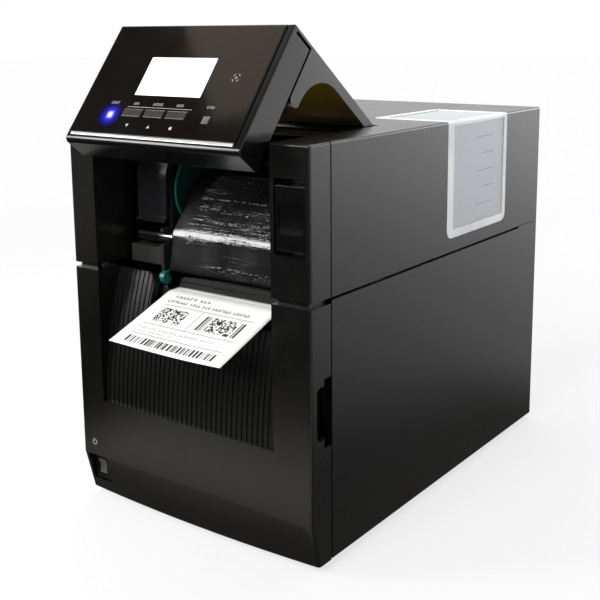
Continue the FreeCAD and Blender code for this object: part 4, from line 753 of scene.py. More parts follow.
@dataclass(frozen=True)
class Rubber(Finish):
    """Matt rubber with ground marks round its axis and a little dust."""

    colour: Colour
    lines: Band = Band.EVEN
    ground_per_metre: float = 1800.0
    ground_detail: float = 4.0
    ground_depth: float = 0.00005
    roughness: Pair = (0.6, 0.8)
    shine: float = 0.3
    dust: Grain = Grain(260.0, 5.0, core=(0.5, 0.85))
    dust_share: float = 0.3
    dust_light: float = 0.05

    def draw(self, pen: Pen) -> None:
        """Draws the ground surface and the dust in it.

        Args:
            pen: The pen of a new material.
        """
        ground = Grain(self.ground_per_metre, self.ground_detail, self.lines)
        dusty = tuple(channel + self.dust_light for channel in self.colour)
        pen.set(Base_Color=pen.blend(pen.spread(self.dust, 0.0, self.dust_share), self.colour,
                                     dusty),
                Roughness=pen.spread(ground, *self.roughness),
                Normal=pen.bump(pen.noise(ground), self.ground_depth),
                Specular_IOR_Level=self.shine)


@dataclass(frozen=True)
class Paper(Finish):
    """Coated label paper, with the wound edges of a roll round one axis."""

    colour: Colour
    roll_axis: Vector
    roll_side: float = 0.0688
    side_edge: float = 0.0001
    fibres: Grain = Grain(1500.0, 4.0)
    fibre_depth: float = 0.000008
    roughness: Pair = (0.42, 0.56)
    shine: float = 0.4
    mottle: Grain = Grain(60.0, 4.0)
    mottle_share: float = 0.35
    mottle_tint: float = 0.9
    turn_pitch: float = 0.0009
    turn_share: float = 0.6
    uneven_pitch: float = 0.0137
    uneven_share: float = 0.4
    edge_tint: Colour = (0.82, 0.76, 0.66)

    def draw(self, pen: Pen) -> None:
        """Draws paper fibres, and fine rings on the roll's flat sides.

        Args:
            pen: The pen of a new material.
        """
        radius = pen.from_line(self.roll_axis)
        rings = pen.total(pen.waves(radius, self.turn_pitch, self.turn_share),
                          pen.waves(radius, self.uneven_pitch, self.uneven_share))
        on_end = pen.span(pen.along(RIGHTWARD, Vector((self.roll_side, 0.0, 0.0))), 0.0,
                          self.side_edge)
        shade = shaded(self.colour, self.mottle_tint)
        warm = tuple(channel * share for channel, share in zip(self.colour, self.edge_tint))
        plain = pen.blend(pen.spread(self.mottle, 0.0, self.mottle_share), self.colour, shade)
        pen.set(Base_Color=pen.blend(on_end, plain, pen.blend(rings, shade, warm)),
                Roughness=pen.spread(self.fibres, *self.roughness),
                Normal=pen.bump(pen.noise(self.fibres), self.fibre_depth),
                Specular_IOR_Level=self.shine)


@dataclass(frozen=True)
class InkFilm(Finish):
    """Thin glossy ribbon film with rows of small crinkles, a smooth margin and a foot darkened as
    painted shade.
    """

    colour: Colour
    roughness: float = 0.2
    shine: float = 0.65
    density: float = 1.55
    margin_x: float = -0.032
    margin_edge: Pair = (-0.001, 0.003)
    bend_low: Stretch = (0.217, 0.221, 0.5, 1.0)
    bend_high: Stretch = (0.233, 0.237, 0.0, 1.0)
    # Painted shade at the film's foot: its height band and its near-black colour.
    foot: Stretch = (0.201, 0.207, 1.0, 0.0)
    foot_shade_colour: Colour = (0.024, 0.024, 0.023)
    rows: Grain = Grain(190.0, 2.0, Band.ALONG_X, core=(0.45, 0.6))
    row_share: float = 0.9
    row_gaps: Grain = Grain(240.0, 2.0, core=(0.42, 0.58))
    gap_share: float = 0.25
    calm_share: float = 0.1
    crinkles: Grain = Grain(900.0, 2.0, Band.DASHES)
    fine_crinkles: Grain = Grain(1900.0, 2.0, Band.DASHES)
    fine_share: float = 0.35
    crinkle_depth: float = 0.00032
    upper_crinkles: float = 0.8
    upper_rise: float = 0.1
    sag: Grain = Grain(60.0, 1.0, Band.ALONG_X)
    sag_depth: float = 0.0001
    sag_strength: float = 0.3
    patches: Grain = Grain(45.0, 3.0, core=(0.35, 0.7))
    patch_rise: float = 0.08
    patch_tint: float = 1.7

    def draw(self, pen: Pen) -> None:
        """Draws the crinkles, livelier above the film's bend, and the painted shade of the strip at
        its foot.

        Args:
            pen: The pen of a new material.
        """
        height = pen.along(UPWARD)
        inside = pen.span(pen.along(RIGHTWARD, Vector((self.margin_x, 0.0, 0.0))),
                          *self.margin_edge)
        above = pen.span(height, *self.bend_high)
        lively = pen.total(pen.span(height, *self.bend_low),
                           pen.product(above, self.upper_crinkles))
        broken = pen.spread(self.row_gaps, self.gap_share, 1.0)
        rows = pen.product(pen.spread(self.rows), pen.product(broken, self.row_share))
        share = pen.product(inside, lively, pen.total(rows, self.calm_share))
        both = pen.total(pen.noise(self.crinkles),
                         pen.product(pen.noise(self.fine_crinkles), self.fine_share))
        sagging = pen.bump(pen.noise(self.sag), self.sag_depth, self.sag_strength)
        patches = pen.spread(self.patches)
        rough = pen.total(pen.span(patches, 0.0, 1.0, self.roughness,
                                   self.roughness + self.patch_rise),
                          pen.product(above, self.upper_rise))
        # Painted shade: a near-black metallic colour at the foot, which also darkens its
        # reflection.
        foot = pen.span(height, *self.foot)
        body = pen.blend(patches, self.colour, shaded(self.colour, self.patch_tint))
        pen.set(Base_Color=pen.blend(foot, body, self.foot_shade_colour), Roughness=rough,
                Metallic=foot,
                Normal=pen.bump(pen.product(both, share), self.crinkle_depth, 1.0, sagging),
                Specular_IOR_Level=self.shine, IOR=self.density)


@dataclass(frozen=True)
class LitScreen(Finish):
    """The lit screen in front, and dark mouldings and a green board behind it."""

    face: Vector
    inward: Vector
    face_soft: float = 0.0002
    board_depth: float = 0.0132
    board_soft: float = 0.0001
    cells: Grain = Grain(90.0, 2.0, core=(0.2, 0.8))
    glow: Pair = (0.93, 0.99)
    glow_colour: Colour = (0.985, 0.99, 1.0)
    screen_colour: Colour = (0.5, 0.5, 0.52)
    mould_colour: Colour = (0.02, 0.02, 0.022)
    board_colour: Colour = (0.02, 0.1, 0.045)
    roughness: Pair = (0.25, 0.35)

    def draw(self, pen: Pen) -> None:
        """Draws the white back light, its faint unevenness, and the parts behind the screen.

        Args:
            pen: The pen of a new material.
        """
        behind = pen.past(self.inward, self.face, self.face_soft)
        board = pen.past(self.inward, self.face + self.inward * self.board_depth, self.board_soft)
        mould = pen.blend(board, self.mould_colour, self.board_colour)
        glow = pen.product(pen.inverse(behind), pen.spread(self.cells, *self.glow))
        pen.set(Base_Color=pen.blend(behind, self.screen_colour, mould),
                Roughness=pen.span(pen.noise(self.cells), *NOISE_CORE, *self.roughness),
                Emission_Color=self.glow_colour, Emission_Strength=glow)


@dataclass(frozen=True)
class Lenses(Finish):
    """The two indicator lenses: a blue one that is lit and a clear one that is not."""

    lamp: Vector
    core: Stretch = (0.0006, 0.0036, 1.0, 0.35)
    ribs: Grain = Grain(1400.0, 2.0, Band.ALONG_Z)
    rib_depth: float = 0.0001
    clear_dark: Colour = (0.05, 0.052, 0.042)
    clear_light: Colour = (0.17, 0.175, 0.14)
    blue_body: Colour = (0.02, 0.03, 0.5)
    blue_rim: Colour = (0.02, 0.03, 1.0)
    blue_core: Colour = (0.5, 0.62, 1.0)
    strength: float = 2.6
    roughness: Pair = (0.12, 0.25)

    def draw(self, pen: Pen) -> None:
        """Draws the lit core of the left lens and the ribbed clear body of the right one.

        Args:
            pen: The pen of a new material.
        """
        left = pen.left_of(0.0)
        core = pen.span(pen.from_point(self.lamp), *self.core)
        clear = pen.blend(pen.spread(self.ribs), self.clear_dark, self.clear_light)
        pen.set(Base_Color=pen.blend(left, clear, self.blue_body),
                Roughness=pen.spread(self.ribs, *self.roughness),
                Normal=pen.bump(pen.noise(self.ribs), self.rib_depth),
                Emission_Color=pen.blend(core, self.blue_rim, self.blue_core),
                Emission_Strength=pen.product(left, pen.product(core, self.strength)))


@dataclass(frozen=True)
class CircuitBoard(Finish):
    """A green board with copper tracks under its mask, and black chips on its left face."""

    face_x: float
    track_length: float = 0.009
    track_pitch: float = 0.0022
    track_width: float = 0.00035
    track_depth: float = 0.00004
    breaks: Grain = Grain(120.0, 2.0, core=(0.45, 0.55))
    mask_colour: Colour = (0.012, 0.085, 0.035)
    track_colour: Colour = (0.05, 0.2, 0.08)
    chips: Grain = Grain(900.0, 3.0)
    chip_dark: Colour = (0.012, 0.012, 0.013)
    chip_light: Colour = (0.03, 0.03, 0.032)
    mask_roughness: float = 0.3
    chip_roughness: float = 0.5

    def draw(self, pen: Pen) -> None:
        """Draws tracks, pads and the chips' matt tops.

        Args:
            pen: The pen of a new material.
        """
        on_chip = pen.left_of(self.face_x)
        swing = pen.nodes.new("ShaderNodeMapping")
        swing.inputs["Rotation"].default_value = (0.0, math.pi / 2, 0.0)
        pen.links.new(pen.place, swing.inputs["Vector"])
        tracks = pen.nodes.new("ShaderNodeTexBrick")
        tracks.inputs["Scale"].default_value = 1.0
        tracks.inputs["Brick Width"].default_value = self.track_length
        tracks.inputs["Row Height"].default_value = self.track_pitch
        tracks.inputs["Mortar Size"].default_value = self.track_width
        pen.links.new(swing.outputs[0], tracks.inputs["Vector"])
        copper = pen.product(tracks.outputs["Fac"], pen.spread(self.breaks))
        green = pen.blend(copper, self.mask_colour, self.track_colour)
        body = pen.blend(pen.noise(self.chips), self.chip_dark, self.chip_light)
        pen.set(Base_Color=pen.blend(on_chip, green, body),
                Roughness=pen.span(on_chip, 0.0, 1.0, self.mask_roughness, self.chip_roughness),
                Normal=pen.bump(copper, self.track_depth))


@dataclass(frozen=True)
class StepMotor(Finish):
    """A step motor: black end caps, a band of bare laminations between them."""

    left_x: float
    right_x: float
    sheet_pitch: float = 0.0005
    sheet_depth: float = 0.00003
    sheet_dark: Colour = (0.12, 0.12, 0.125)
    sheet_light: Colour = (0.35, 0.35, 0.36)
    paint: Grain = Grain(300.0, 3.0)
    paint_dark: Colour = (0.012, 0.012, 0.013)
    paint_light: Colour = (0.022, 0.022, 0.024)
    roughness: Pair = (0.4, 0.5)

    def draw(self, pen: Pen) -> None:
        """Draws the laminations' fine lines and the caps' paint.

        Args:
            pen: The pen of a new material.
        """
        bare = pen.product(pen.right_of(self.left_x), pen.left_of(self.right_x))
        depth = pen.along(RIGHTWARD, Vector((self.left_x, 0.0, 0.0)))
        sheets = pen.waves(depth, self.sheet_pitch)
        steel = pen.blend(sheets, self.sheet_dark, self.sheet_light)
        paint = pen.blend(pen.noise(self.paint), self.paint_dark, self.paint_light)
        pen.set(Base_Color=pen.blend(bare, paint, steel), Metallic=bare,
                Roughness=pen.span(sheets, 0.0, 1.0, *self.roughness),
                Normal=pen.bump(sheets, self.sheet_depth))


@dataclass(frozen=True)
class InletBody(Finish):
    """Black socket plastic, with bright metal where the pins or contacts are."""

    colour: Colour
    middle: Vector
    reach: float
    depth_y: float
    reach_edge: float = 0.0004
    pin_colour: Colour = (0.62, 0.61, 0.57)
    grain: Grain = Grain(2200.0, 3.0)
    grain_depth: float = 0.00002
    grain_tint: float = 1.5
    roughness: Pair = (0.36, 0.46)

    def draw(self, pen: Pen) -> None:
        """Draws the dull plastic and the nickel pins inside it.

        Args:
            pen: The pen of a new material.
        """
        inside = pen.inverse(pen.past(BACKWARD, Vector((0.0, self.depth_y, 0.0))))
        close = pen.span(pen.from_point(self.middle), self.reach, self.reach + self.reach_edge,
                         1.0, 0.0)
        pins = pen.product(inside, close)
        body = pen.blend(pen.noise(self.grain), self.colour,
                         shaded(self.colour, self.grain_tint))
        pen.set(Base_Color=pen.blend(pins, body, self.pin_colour), Metallic=pins,
                Roughness=pen.spread(self.grain, *self.roughness),
                Normal=pen.bump(pen.noise(self.grain), self.grain_depth))


@dataclass
class FinishBook:
    """Every finish of the printer by the record's material slot."""

    lamp: Vector = field(default_factory=lambda: DRAWING.on_panel(-54.0, 0.0, 21.5))
    screen: Vector = field(default_factory=lambda: DRAWING.on_panel(0.0, 1.6, 50.0))
    roll_middle: Vector = field(default_factory=lambda: DRAWING.point(0.0, 262.0, 150.0))
    socket_middle: Vector = field(default_factory=lambda: DRAWING.point(-84.0, 367.0, 30.0))
    rim_width: float = 0.001
    made: dict[str, bpy.types.Material] = field(default_factory=dict)

    def covers(self) -> dict[str, Finish]:
        """The finishes of the covers, the panel and what is worked by hand.

        Returns:
            The finishes by slot.
        """
        return {
            "housing": MouldedPlastic("satin_black_housing", (0.0026, 0.0025, 0.0023),
                                      roughness=0.27, grain_depth=0.000014),
            "hood_black": MouldedPlastic("smooth_black_hood", (0.0032, 0.003, 0.0033),
                                         roughness=0.2, grain_depth=0.000006),
            "panel_gloss": PanelFilm("operator_panel_film", (0.003, 0.0022, 0.0015), self.lamp),
            "inner_black": MouldedPlastic("dull_inner_plastic", (0.0024, 0.0024, 0.0026),
                                          roughness=0.38, shine=0.25),
            "rib_black": MouldedPlastic("ribbed_plate_plastic", (0.0022, 0.0022, 0.0019),
                                        roughness=0.38, shine=0.28),
            "window_frost": FrostedWindow("frosted_window", (0.92, 0.92, 0.94),
                                          (0.49, 0.53, 0.56)),
            "silver_trim": Metal("silver_trim_strip", (0.8, 0.8, 0.81), roughness=0.3,
                                 lines=Band.EVEN, line_depth=0.0000004),
            "key_grey": MouldedPlastic("dark_grey_keys", (0.03, 0.029, 0.029),
                                       roughness=0.24, grain_depth=0.00001),
            "lens_clear": Lenses("indicator_lenses", self.lamp),
            "screen": LitScreen("lit_screen", self.screen, DRAWING.panel_inward()),
            "button_black": MouldedPlastic("release_button_black", (0.002, 0.002, 0.0019),
                                           roughness=0.2, grain_depth=0.000006),
            "rocker_black": MouldedPlastic("rocker_grey", (0.05, 0.049, 0.047),
                                           roughness=0.32, grain_depth=0.00001),
            "teal": MouldedPlastic("teal_touch_points", (0.001, 0.085, 0.07),
                                   roughness=0.34, grain_depth=0.00001),
        }

    def works(self) -> dict[str, Finish]:
        """The finishes of the frame, the drive, the web goods, the boards and the feet.

        Returns:
            The finishes by slot.
        """
        return {
            "zinc_sheet": CoatedSheet("coated_sheet_steel", (0.007, 0.007, 0.0072)),
            "bright_steel": Metal("ground_steel", (0.72, 0.71, 0.7), roughness=0.14),
            "tear_steel": Metal("tear_bar_steel", (0.6, 0.6, 0.61), roughness=0.26),
            "bearing_bronze": Metal("sintered_bronze", (0.45, 0.3, 0.14), roughness=0.42,
                                    lines=Band.EVEN, line_depth=0.00002),
            "head_aluminium": Metal("cast_head_carrier", (0.5, 0.5, 0.51), roughness=0.42,
                                    lines=Band.EVEN, line_depth=0.00004),
            "head_ceramic": MouldedPlastic("glazed_head_strip", (0.14, 0.11, 0.09),
                                           roughness=0.15, grain_depth=0.000002),
            "platen_rubber": Rubber("platen_rubber", (0.02, 0.02, 0.021), Band.ALONG_X),
            "gear_white": MouldedPlastic("acetal_gears", (0.66, 0.64, 0.58), roughness=0.38,
                                         grain_depth=0.00001),
            "film_black": InkFilm("ribbon_film", (0.004, 0.004, 0.0041), roughness=0.16),
            "label_paper": Paper("label_paper", (0.86, 0.855, 0.83), self.roll_middle),
            "spool_grey": MouldedPlastic("grey_spool_plastic", (0.024, 0.023, 0.019),
                                         roughness=0.24),
            "motor_steel": StepMotor("step_motor", left_x=-0.1, right_x=-0.08),
            "board_green": CircuitBoard("main_circuit_board", face_x=-0.0622),
            "supply_case": Metal("plated_supply_case", (0.55, 0.56, 0.55), roughness=0.38,
                                 lines=Band.ALONG_Y, line_depth=0.00001),
            "port_shell": InletBody("socket_shells", (0.012, 0.012, 0.013), self.socket_middle,
                                    reach=0.0105, depth_y=0.2008),
            "foot_rubber": Rubber("foot_rubber", (0.012, 0.012, 0.012)),
            "hinge_steel": Metal("hinge_steel", (0.42, 0.42, 0.43), roughness=0.34,
                                 lines=Band.ALONG_Z),
            "screw_steel": Metal("black_screws", (0.08, 0.08, 0.082), roughness=0.36,
                                 lines=Band.EVEN),
        }

    def special(self) -> dict[str, Finish]:
        """The finishes of pieces whose surface differs from their slot's.

        Returns:
            The finishes by node.
        """
        low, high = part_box("takeup_flange")
        middle = (Vector(low) + Vector(high)) / 2
        rim_from = (high[2] - low[2]) / 2 - self.rim_width
        return {
            # The disc's face colour is painted shade and its rim colour is a painted highlight.
            "takeup_flange": ShadedDiscWithRimHighlight("teal_reel_disc", (0.0004, 0.02, 0.015),
                                        (0.001, 0.09, 0.07), middle, rim_from),
            "guide_shafts": Metal("polished_guide_shafts", (0.3, 0.29, 0.28), roughness=0.1,
                                  line_depth=0.000001),
            "ribbon_drive_cover": MouldedPlastic("drive_cover_plastic", (0.008, 0.008, 0.0092),
                                                 roughness=0.3, grain_depth=0.00001),
            "panel_housing": MouldedPlastic("smooth_panel_housing", (0.003, 0.0028, 0.0031),
                                            roughness=0.18, grain_depth=0.000006, shine=0.4),
            "hood_flap": HoodFlap("smooth_hood_flap", (0.0032, 0.003, 0.0033),
                                  roughness=0.2, grain_depth=0.000006),
        }

    def build(self) -> None:
        """Builds each finish once."""
        for slot, finish in {**self.covers(), **self.works()}.items():
            self.made[slot] = finish.build()

    def dress(self, frame: dict) -> int:
        """Gives each carried-over node the finish of its slot.


        Returns:
            How many nodes got a finish.
        """
        slots = {part["node"]: part["material_slot"] for part in frame["record"]["subparts"]}
        special = {node: finish.build() for node, finish in self.special().items()}
        for node, piece in frame["nodes"].items():
            material = special.get(node) or self.made[slots[node]]
            if not piece.material_slots:
                piece.data.materials.append(material)
            for slot in piece.material_slots:
                slot.material = material
        return len(slots)


class Maker:
    """Turns points and faces into pieces that ride on a body."""

    def __init__(self, book: FinishBook) -> None:
        """Keeps the finishes.

        Args:
            book: The built finishes.
        """
        self.book = book

    def piece(self, name: str, corners: Sequence[Vector], faces: Sequence[Sequence[int]],
              body: str, slot: str, material: bpy.types.Material | None = None,
              smooth: bool = False) -> bpy.types.Object:
        """A mesh piece that rides on a body and wears a slot's finish.

        Args:
            name: The piece's name.
            corners: Its corners in metres.
            faces: Its faces by corner number.
            body: The body that it rides on.
            slot: The record's material slot.
            material: A finish of its own in the slot's place.
            smooth: Whether its faces are shaded smooth.

        Returns:
            The new object.
        """
        mesh = bpy.data.meshes.new(name)
        mesh.from_pydata([tuple(corner) for corner in corners], [], [tuple(f) for f in faces])
        mesh.update()
        if smooth:
            mesh.polygons.foreach_set("use_smooth", [True] * len(mesh.polygons))
        mesh.materials.append(material or self.book.made[slot])
        piece = bpy.data.objects.new(name, mesh)
        bpy.context.scene.collection.objects.link(piece)
        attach(piece, body)
        return piece

    @staticmethod
    def plates(outlines: Iterable[Sequence[Vector]], lift: Vector
               ) -> tuple[list[Vector], list[list[int]]]:
        """Thin plates from outlines, closed on every side.

        Args:
            outlines: Each plate's outline on the surface that carries it.
            lift: From the plate's under side to its top.

        Returns:
            The corners and the faces.
        """
        corners: list[Vector] = []
        faces: list[list[int]] = []
        for outline in outlines:
            start, count = len(corners), len(outline)
            corners += list(outline) + [corner + lift for corner in outline]
            faces.append([start + count + i for i in range(count)])
            faces.append([start + i for i in reversed(range(count))])
            for i in range(count):
                j = (i + 1) % count
                faces.append([start + i, start + j, start + count + j, start + count + i])
        return corners, faces


@dataclass
class EdgeSoftener:
    """Rounds the sharp edges of carried-over plastic and metal pieces a little."""

    widths: dict[str, float] = field(default_factory=lambda: {
        "front_cover": 0.8, "top_cover": 0.8, "side_door": 0.45, "left_side_cover": 0.45,
        "rear_cover": 0.4, "panel_housing": 0.4, "hood_flap": 0.4, "ribbed_front_plate": 0.3,
        "power_switch_bezel": 0.3, "power_switch_rocker": 0.35, "ribbon_drive_cover": 0.3,
        "head_side_block": 0.3, "media_flange": 0.3, "media_guide": 0.3, "head_lever": 0.4,
        "takeup_flange": 0.3, "latch_hook": 0.3, "tear_bar": 0.15, "power_inlet": 0.3,
        "interface_ports": 0.25, "cover_hinge_leaves": 0.25, "hinge_brackets": 0.25,
        "outer_mech_plate": 0.25, "centre_frame": 0.25, "print_head_block": 0.3,
        "panel_glass": 0.15, "top_window": 0.3, "open_button": 0.7,
    })
    sharp_angle: float = 32.0
    segments: int = 2
    weld_distance: float = 0.000002
    face_weight: int = 100

    @staticmethod
    def group(name: str) -> tuple[bpy.types.NodeTree, Socket, Socket]:
        """An empty geometry group.

        Args:
            name: The group's name.

        Returns:
            The group, the geometry that comes in, and where it goes out.
        """
        group = bpy.data.node_groups.new(name, "GeometryNodeTree")
        for direction in ("INPUT", "OUTPUT"):
            group.interface.new_socket("Geometry", in_out=direction,
                                       socket_type="NodeSocketGeometry")
        source = group.nodes.new("NodeGroupInput")
        sink = group.nodes.new("NodeGroupOutput")
        return group, source.outputs[0], sink.inputs[0]

    def weld_group(self) -> bpy.types.NodeTree:
        """A geometry group that joins the split corners of an imported mesh.

        Returns:
            The node group.
        """
        group, source, sink = self.group("welded_corners")
        merge = group.nodes.new("GeometryNodeMergeByDistance")
        merge.inputs["Distance"].default_value = self.weld_distance
        plain = group.nodes.new("GeometryNodeRemoveAttribute")
        plain.inputs["Name"].default_value = "custom_normal"
        group.links.new(source, merge.inputs["Geometry"])
        group.links.new(merge.outputs[0], plain.inputs["Geometry"])
        group.links.new(plain.outputs[0], sink)
        return group

    def smooth_group(self) -> bpy.types.NodeTree:
        """A geometry group that shades smooth up to the sharp angle.

        Returns:
            The node group.
        """
        group, source, sink = self.group("smooth_by_angle")
        faces = group.nodes.new("GeometryNodeSetShadeSmooth")
        faces.domain = "FACE"
        edges = group.nodes.new("GeometryNodeSetShadeSmooth")
        edges.domain = "EDGE"
        angle = group.nodes.new("GeometryNodeInputMeshEdgeAngle")
        gentle = group.nodes.new("FunctionNodeCompare")
        gentle.operation = "LESS_EQUAL"
        gentle.inputs[1].default_value = math.radians(self.sharp_angle)
        group.links.new(angle.outputs["Unsigned Angle"], gentle.inputs[0])
        group.links.new(source, faces.inputs["Geometry"])
        group.links.new(faces.outputs[0], edges.inputs["Geometry"])
        group.links.new(gentle.outputs[0], edges.inputs["Shade Smooth"])
        group.links.new(edges.outputs[0], sink)
        return group

    def soften(self, frame: dict) -> int:
        """Adds the modifiers to each chosen node.


        Returns:
            How many nodes were softened.
        """
        welded, smoothed = self.weld_group(), self.smooth_group()
        for node, width in self.widths.items():
            piece = frame["nodes"][node]
            weld = piece.modifiers.new("weld", "NODES")
            weld.node_group = welded
            bevel = piece.modifiers.new("edge", "BEVEL")
            bevel.width = width / 1000.0
            bevel.segments = self.segments
            bevel.limit_method = "ANGLE"
            bevel.angle_limit = math.radians(self.sharp_angle)
            bevel.use_clamp_overlap = True
            bevel.harden_normals = False
            shade = piece.modifiers.new("shade", "NODES")
            shade.node_group = smoothed
            level = piece.modifiers.new("level", "WEIGHTED_NORMAL")
            level.mode = "FACE_AREA"
            level.weight = self.face_weight
            level.keep_sharp = True
        return len(self.widths)


class Turn(NamedTuple):
    """A turn of a web in the side view: its middle in millimetres and its signed radius."""

    y: float
    z: float
    radius: float


class Station(NamedTuple):
    """A place on a web's course: where it is, its left normal, and whether it is on a turn."""

    y: float
    z: float
    normal_y: float
    normal_z: float
    on_turn: bool


@dataclass
class WebPath:
    """A web's course in the side view: straight runs between turns of given radius."""

    turns: Sequence[Turn]
    most_turned: float = 0.12

    def tangent(self, first: Turn, second: Turn) -> tuple[Vector, Vector, Vector]:
        """The straight run between two turns.

        Args:
            first: The turn that the run leaves.
            second: The turn that it reaches.

        Returns:
            The run's start and end, and its left normal.
        """
        across = math.hypot(second.y - first.y, second.z - first.z)
        angle = (math.atan2(second.z - first.z, second.y - first.y)
                 - math.asin((second.radius - first.radius) / across))
        normal = Vector((-math.sin(angle), math.cos(angle)))
        return (Vector((first.y, first.z)) - first.radius * normal,
                Vector((second.y, second.z)) - second.radius * normal, normal)

    def sample(self, step: float) -> list[Station]:
        """Places along the course.

        Args:
            step: The most that two places may be apart, in millimetres.

        Returns:
            The places in order.
        """
        runs = [self.tangent(a, b) for a, b in zip(self.turns, self.turns[1:])]
        found: list[Station] = []
        for index, (start, end, normal) in enumerate(runs):
            count = max(2, int((end - start).length / step))
            first = 0 if index == 0 else 1
            for i in range(first, count + 1):
                at = start.lerp(end, i / count)
                found.append(Station(at.x, at.y, normal.x, normal.y, False))
            if index + 1 == len(runs):
                break
            turn = self.turns[index + 1]
            sweep = normal.angle_signed(runs[index + 1][2]) * -1.0
            count = max(2, int(abs(sweep * turn.radius) / step),
                        int(abs(sweep) / self.most_turned))
            for i in range(1, count + 1):
                turned = normal.copy()
                turned.rotate(Matrix.Rotation(sweep * i / count, 2))
                at = Vector((turn.y, turn.z)) - turn.radius * turned
                found.append(Station(at.x, at.y, turned.x, turned.y, True))
        return found


@dataclass
class SheetGrid:
    """A thin sheet over a grid of places, with a front, a back and its four edges."""

    thickness: float

    def build(self, rows: Sequence[Sequence[tuple[Vector, Vector]]]
              ) -> tuple[list[Vector], list[list[int]]]:
        """Corners and faces of the closed sheet.

        Args:
            rows: For each row, its places with the normal of the front side.

        Returns:
            The corners and the faces.
        """
        across = len(rows[0])
        corners = [at for row in rows for at, _ in row]
        corners += [at - normal * self.thickness for row in rows for at, normal in row]
        back = len(rows) * across
        faces: list[list[int]] = []
        for i in range(len(rows) - 1):
            for j in range(across - 1):
                a, b = i * across + j, i * across + j + 1
                c, d = b + across, a + across
                faces.append([a, b, c, d])
                faces.append([back + d, back + c, back + b, back + a])
        rim = list(range(across))
        rim += [i * across + across - 1 for i in range(1, len(rows))]
        rim += [(len(rows) - 1) * across + j for j in reversed(range(across - 1))]
        rim += [i * across for i in reversed(range(1, len(rows) - 1))]
        for a, b in zip(rim, rim[1:] + rim[:1]):
            faces.append([b, a, back + a, back + b])
        return corners, faces


class Block(NamedTuple):
    """A printed block's ends, as shares of the label's width and of its length."""

    left: float
    right: float
    top: float
    bottom: float


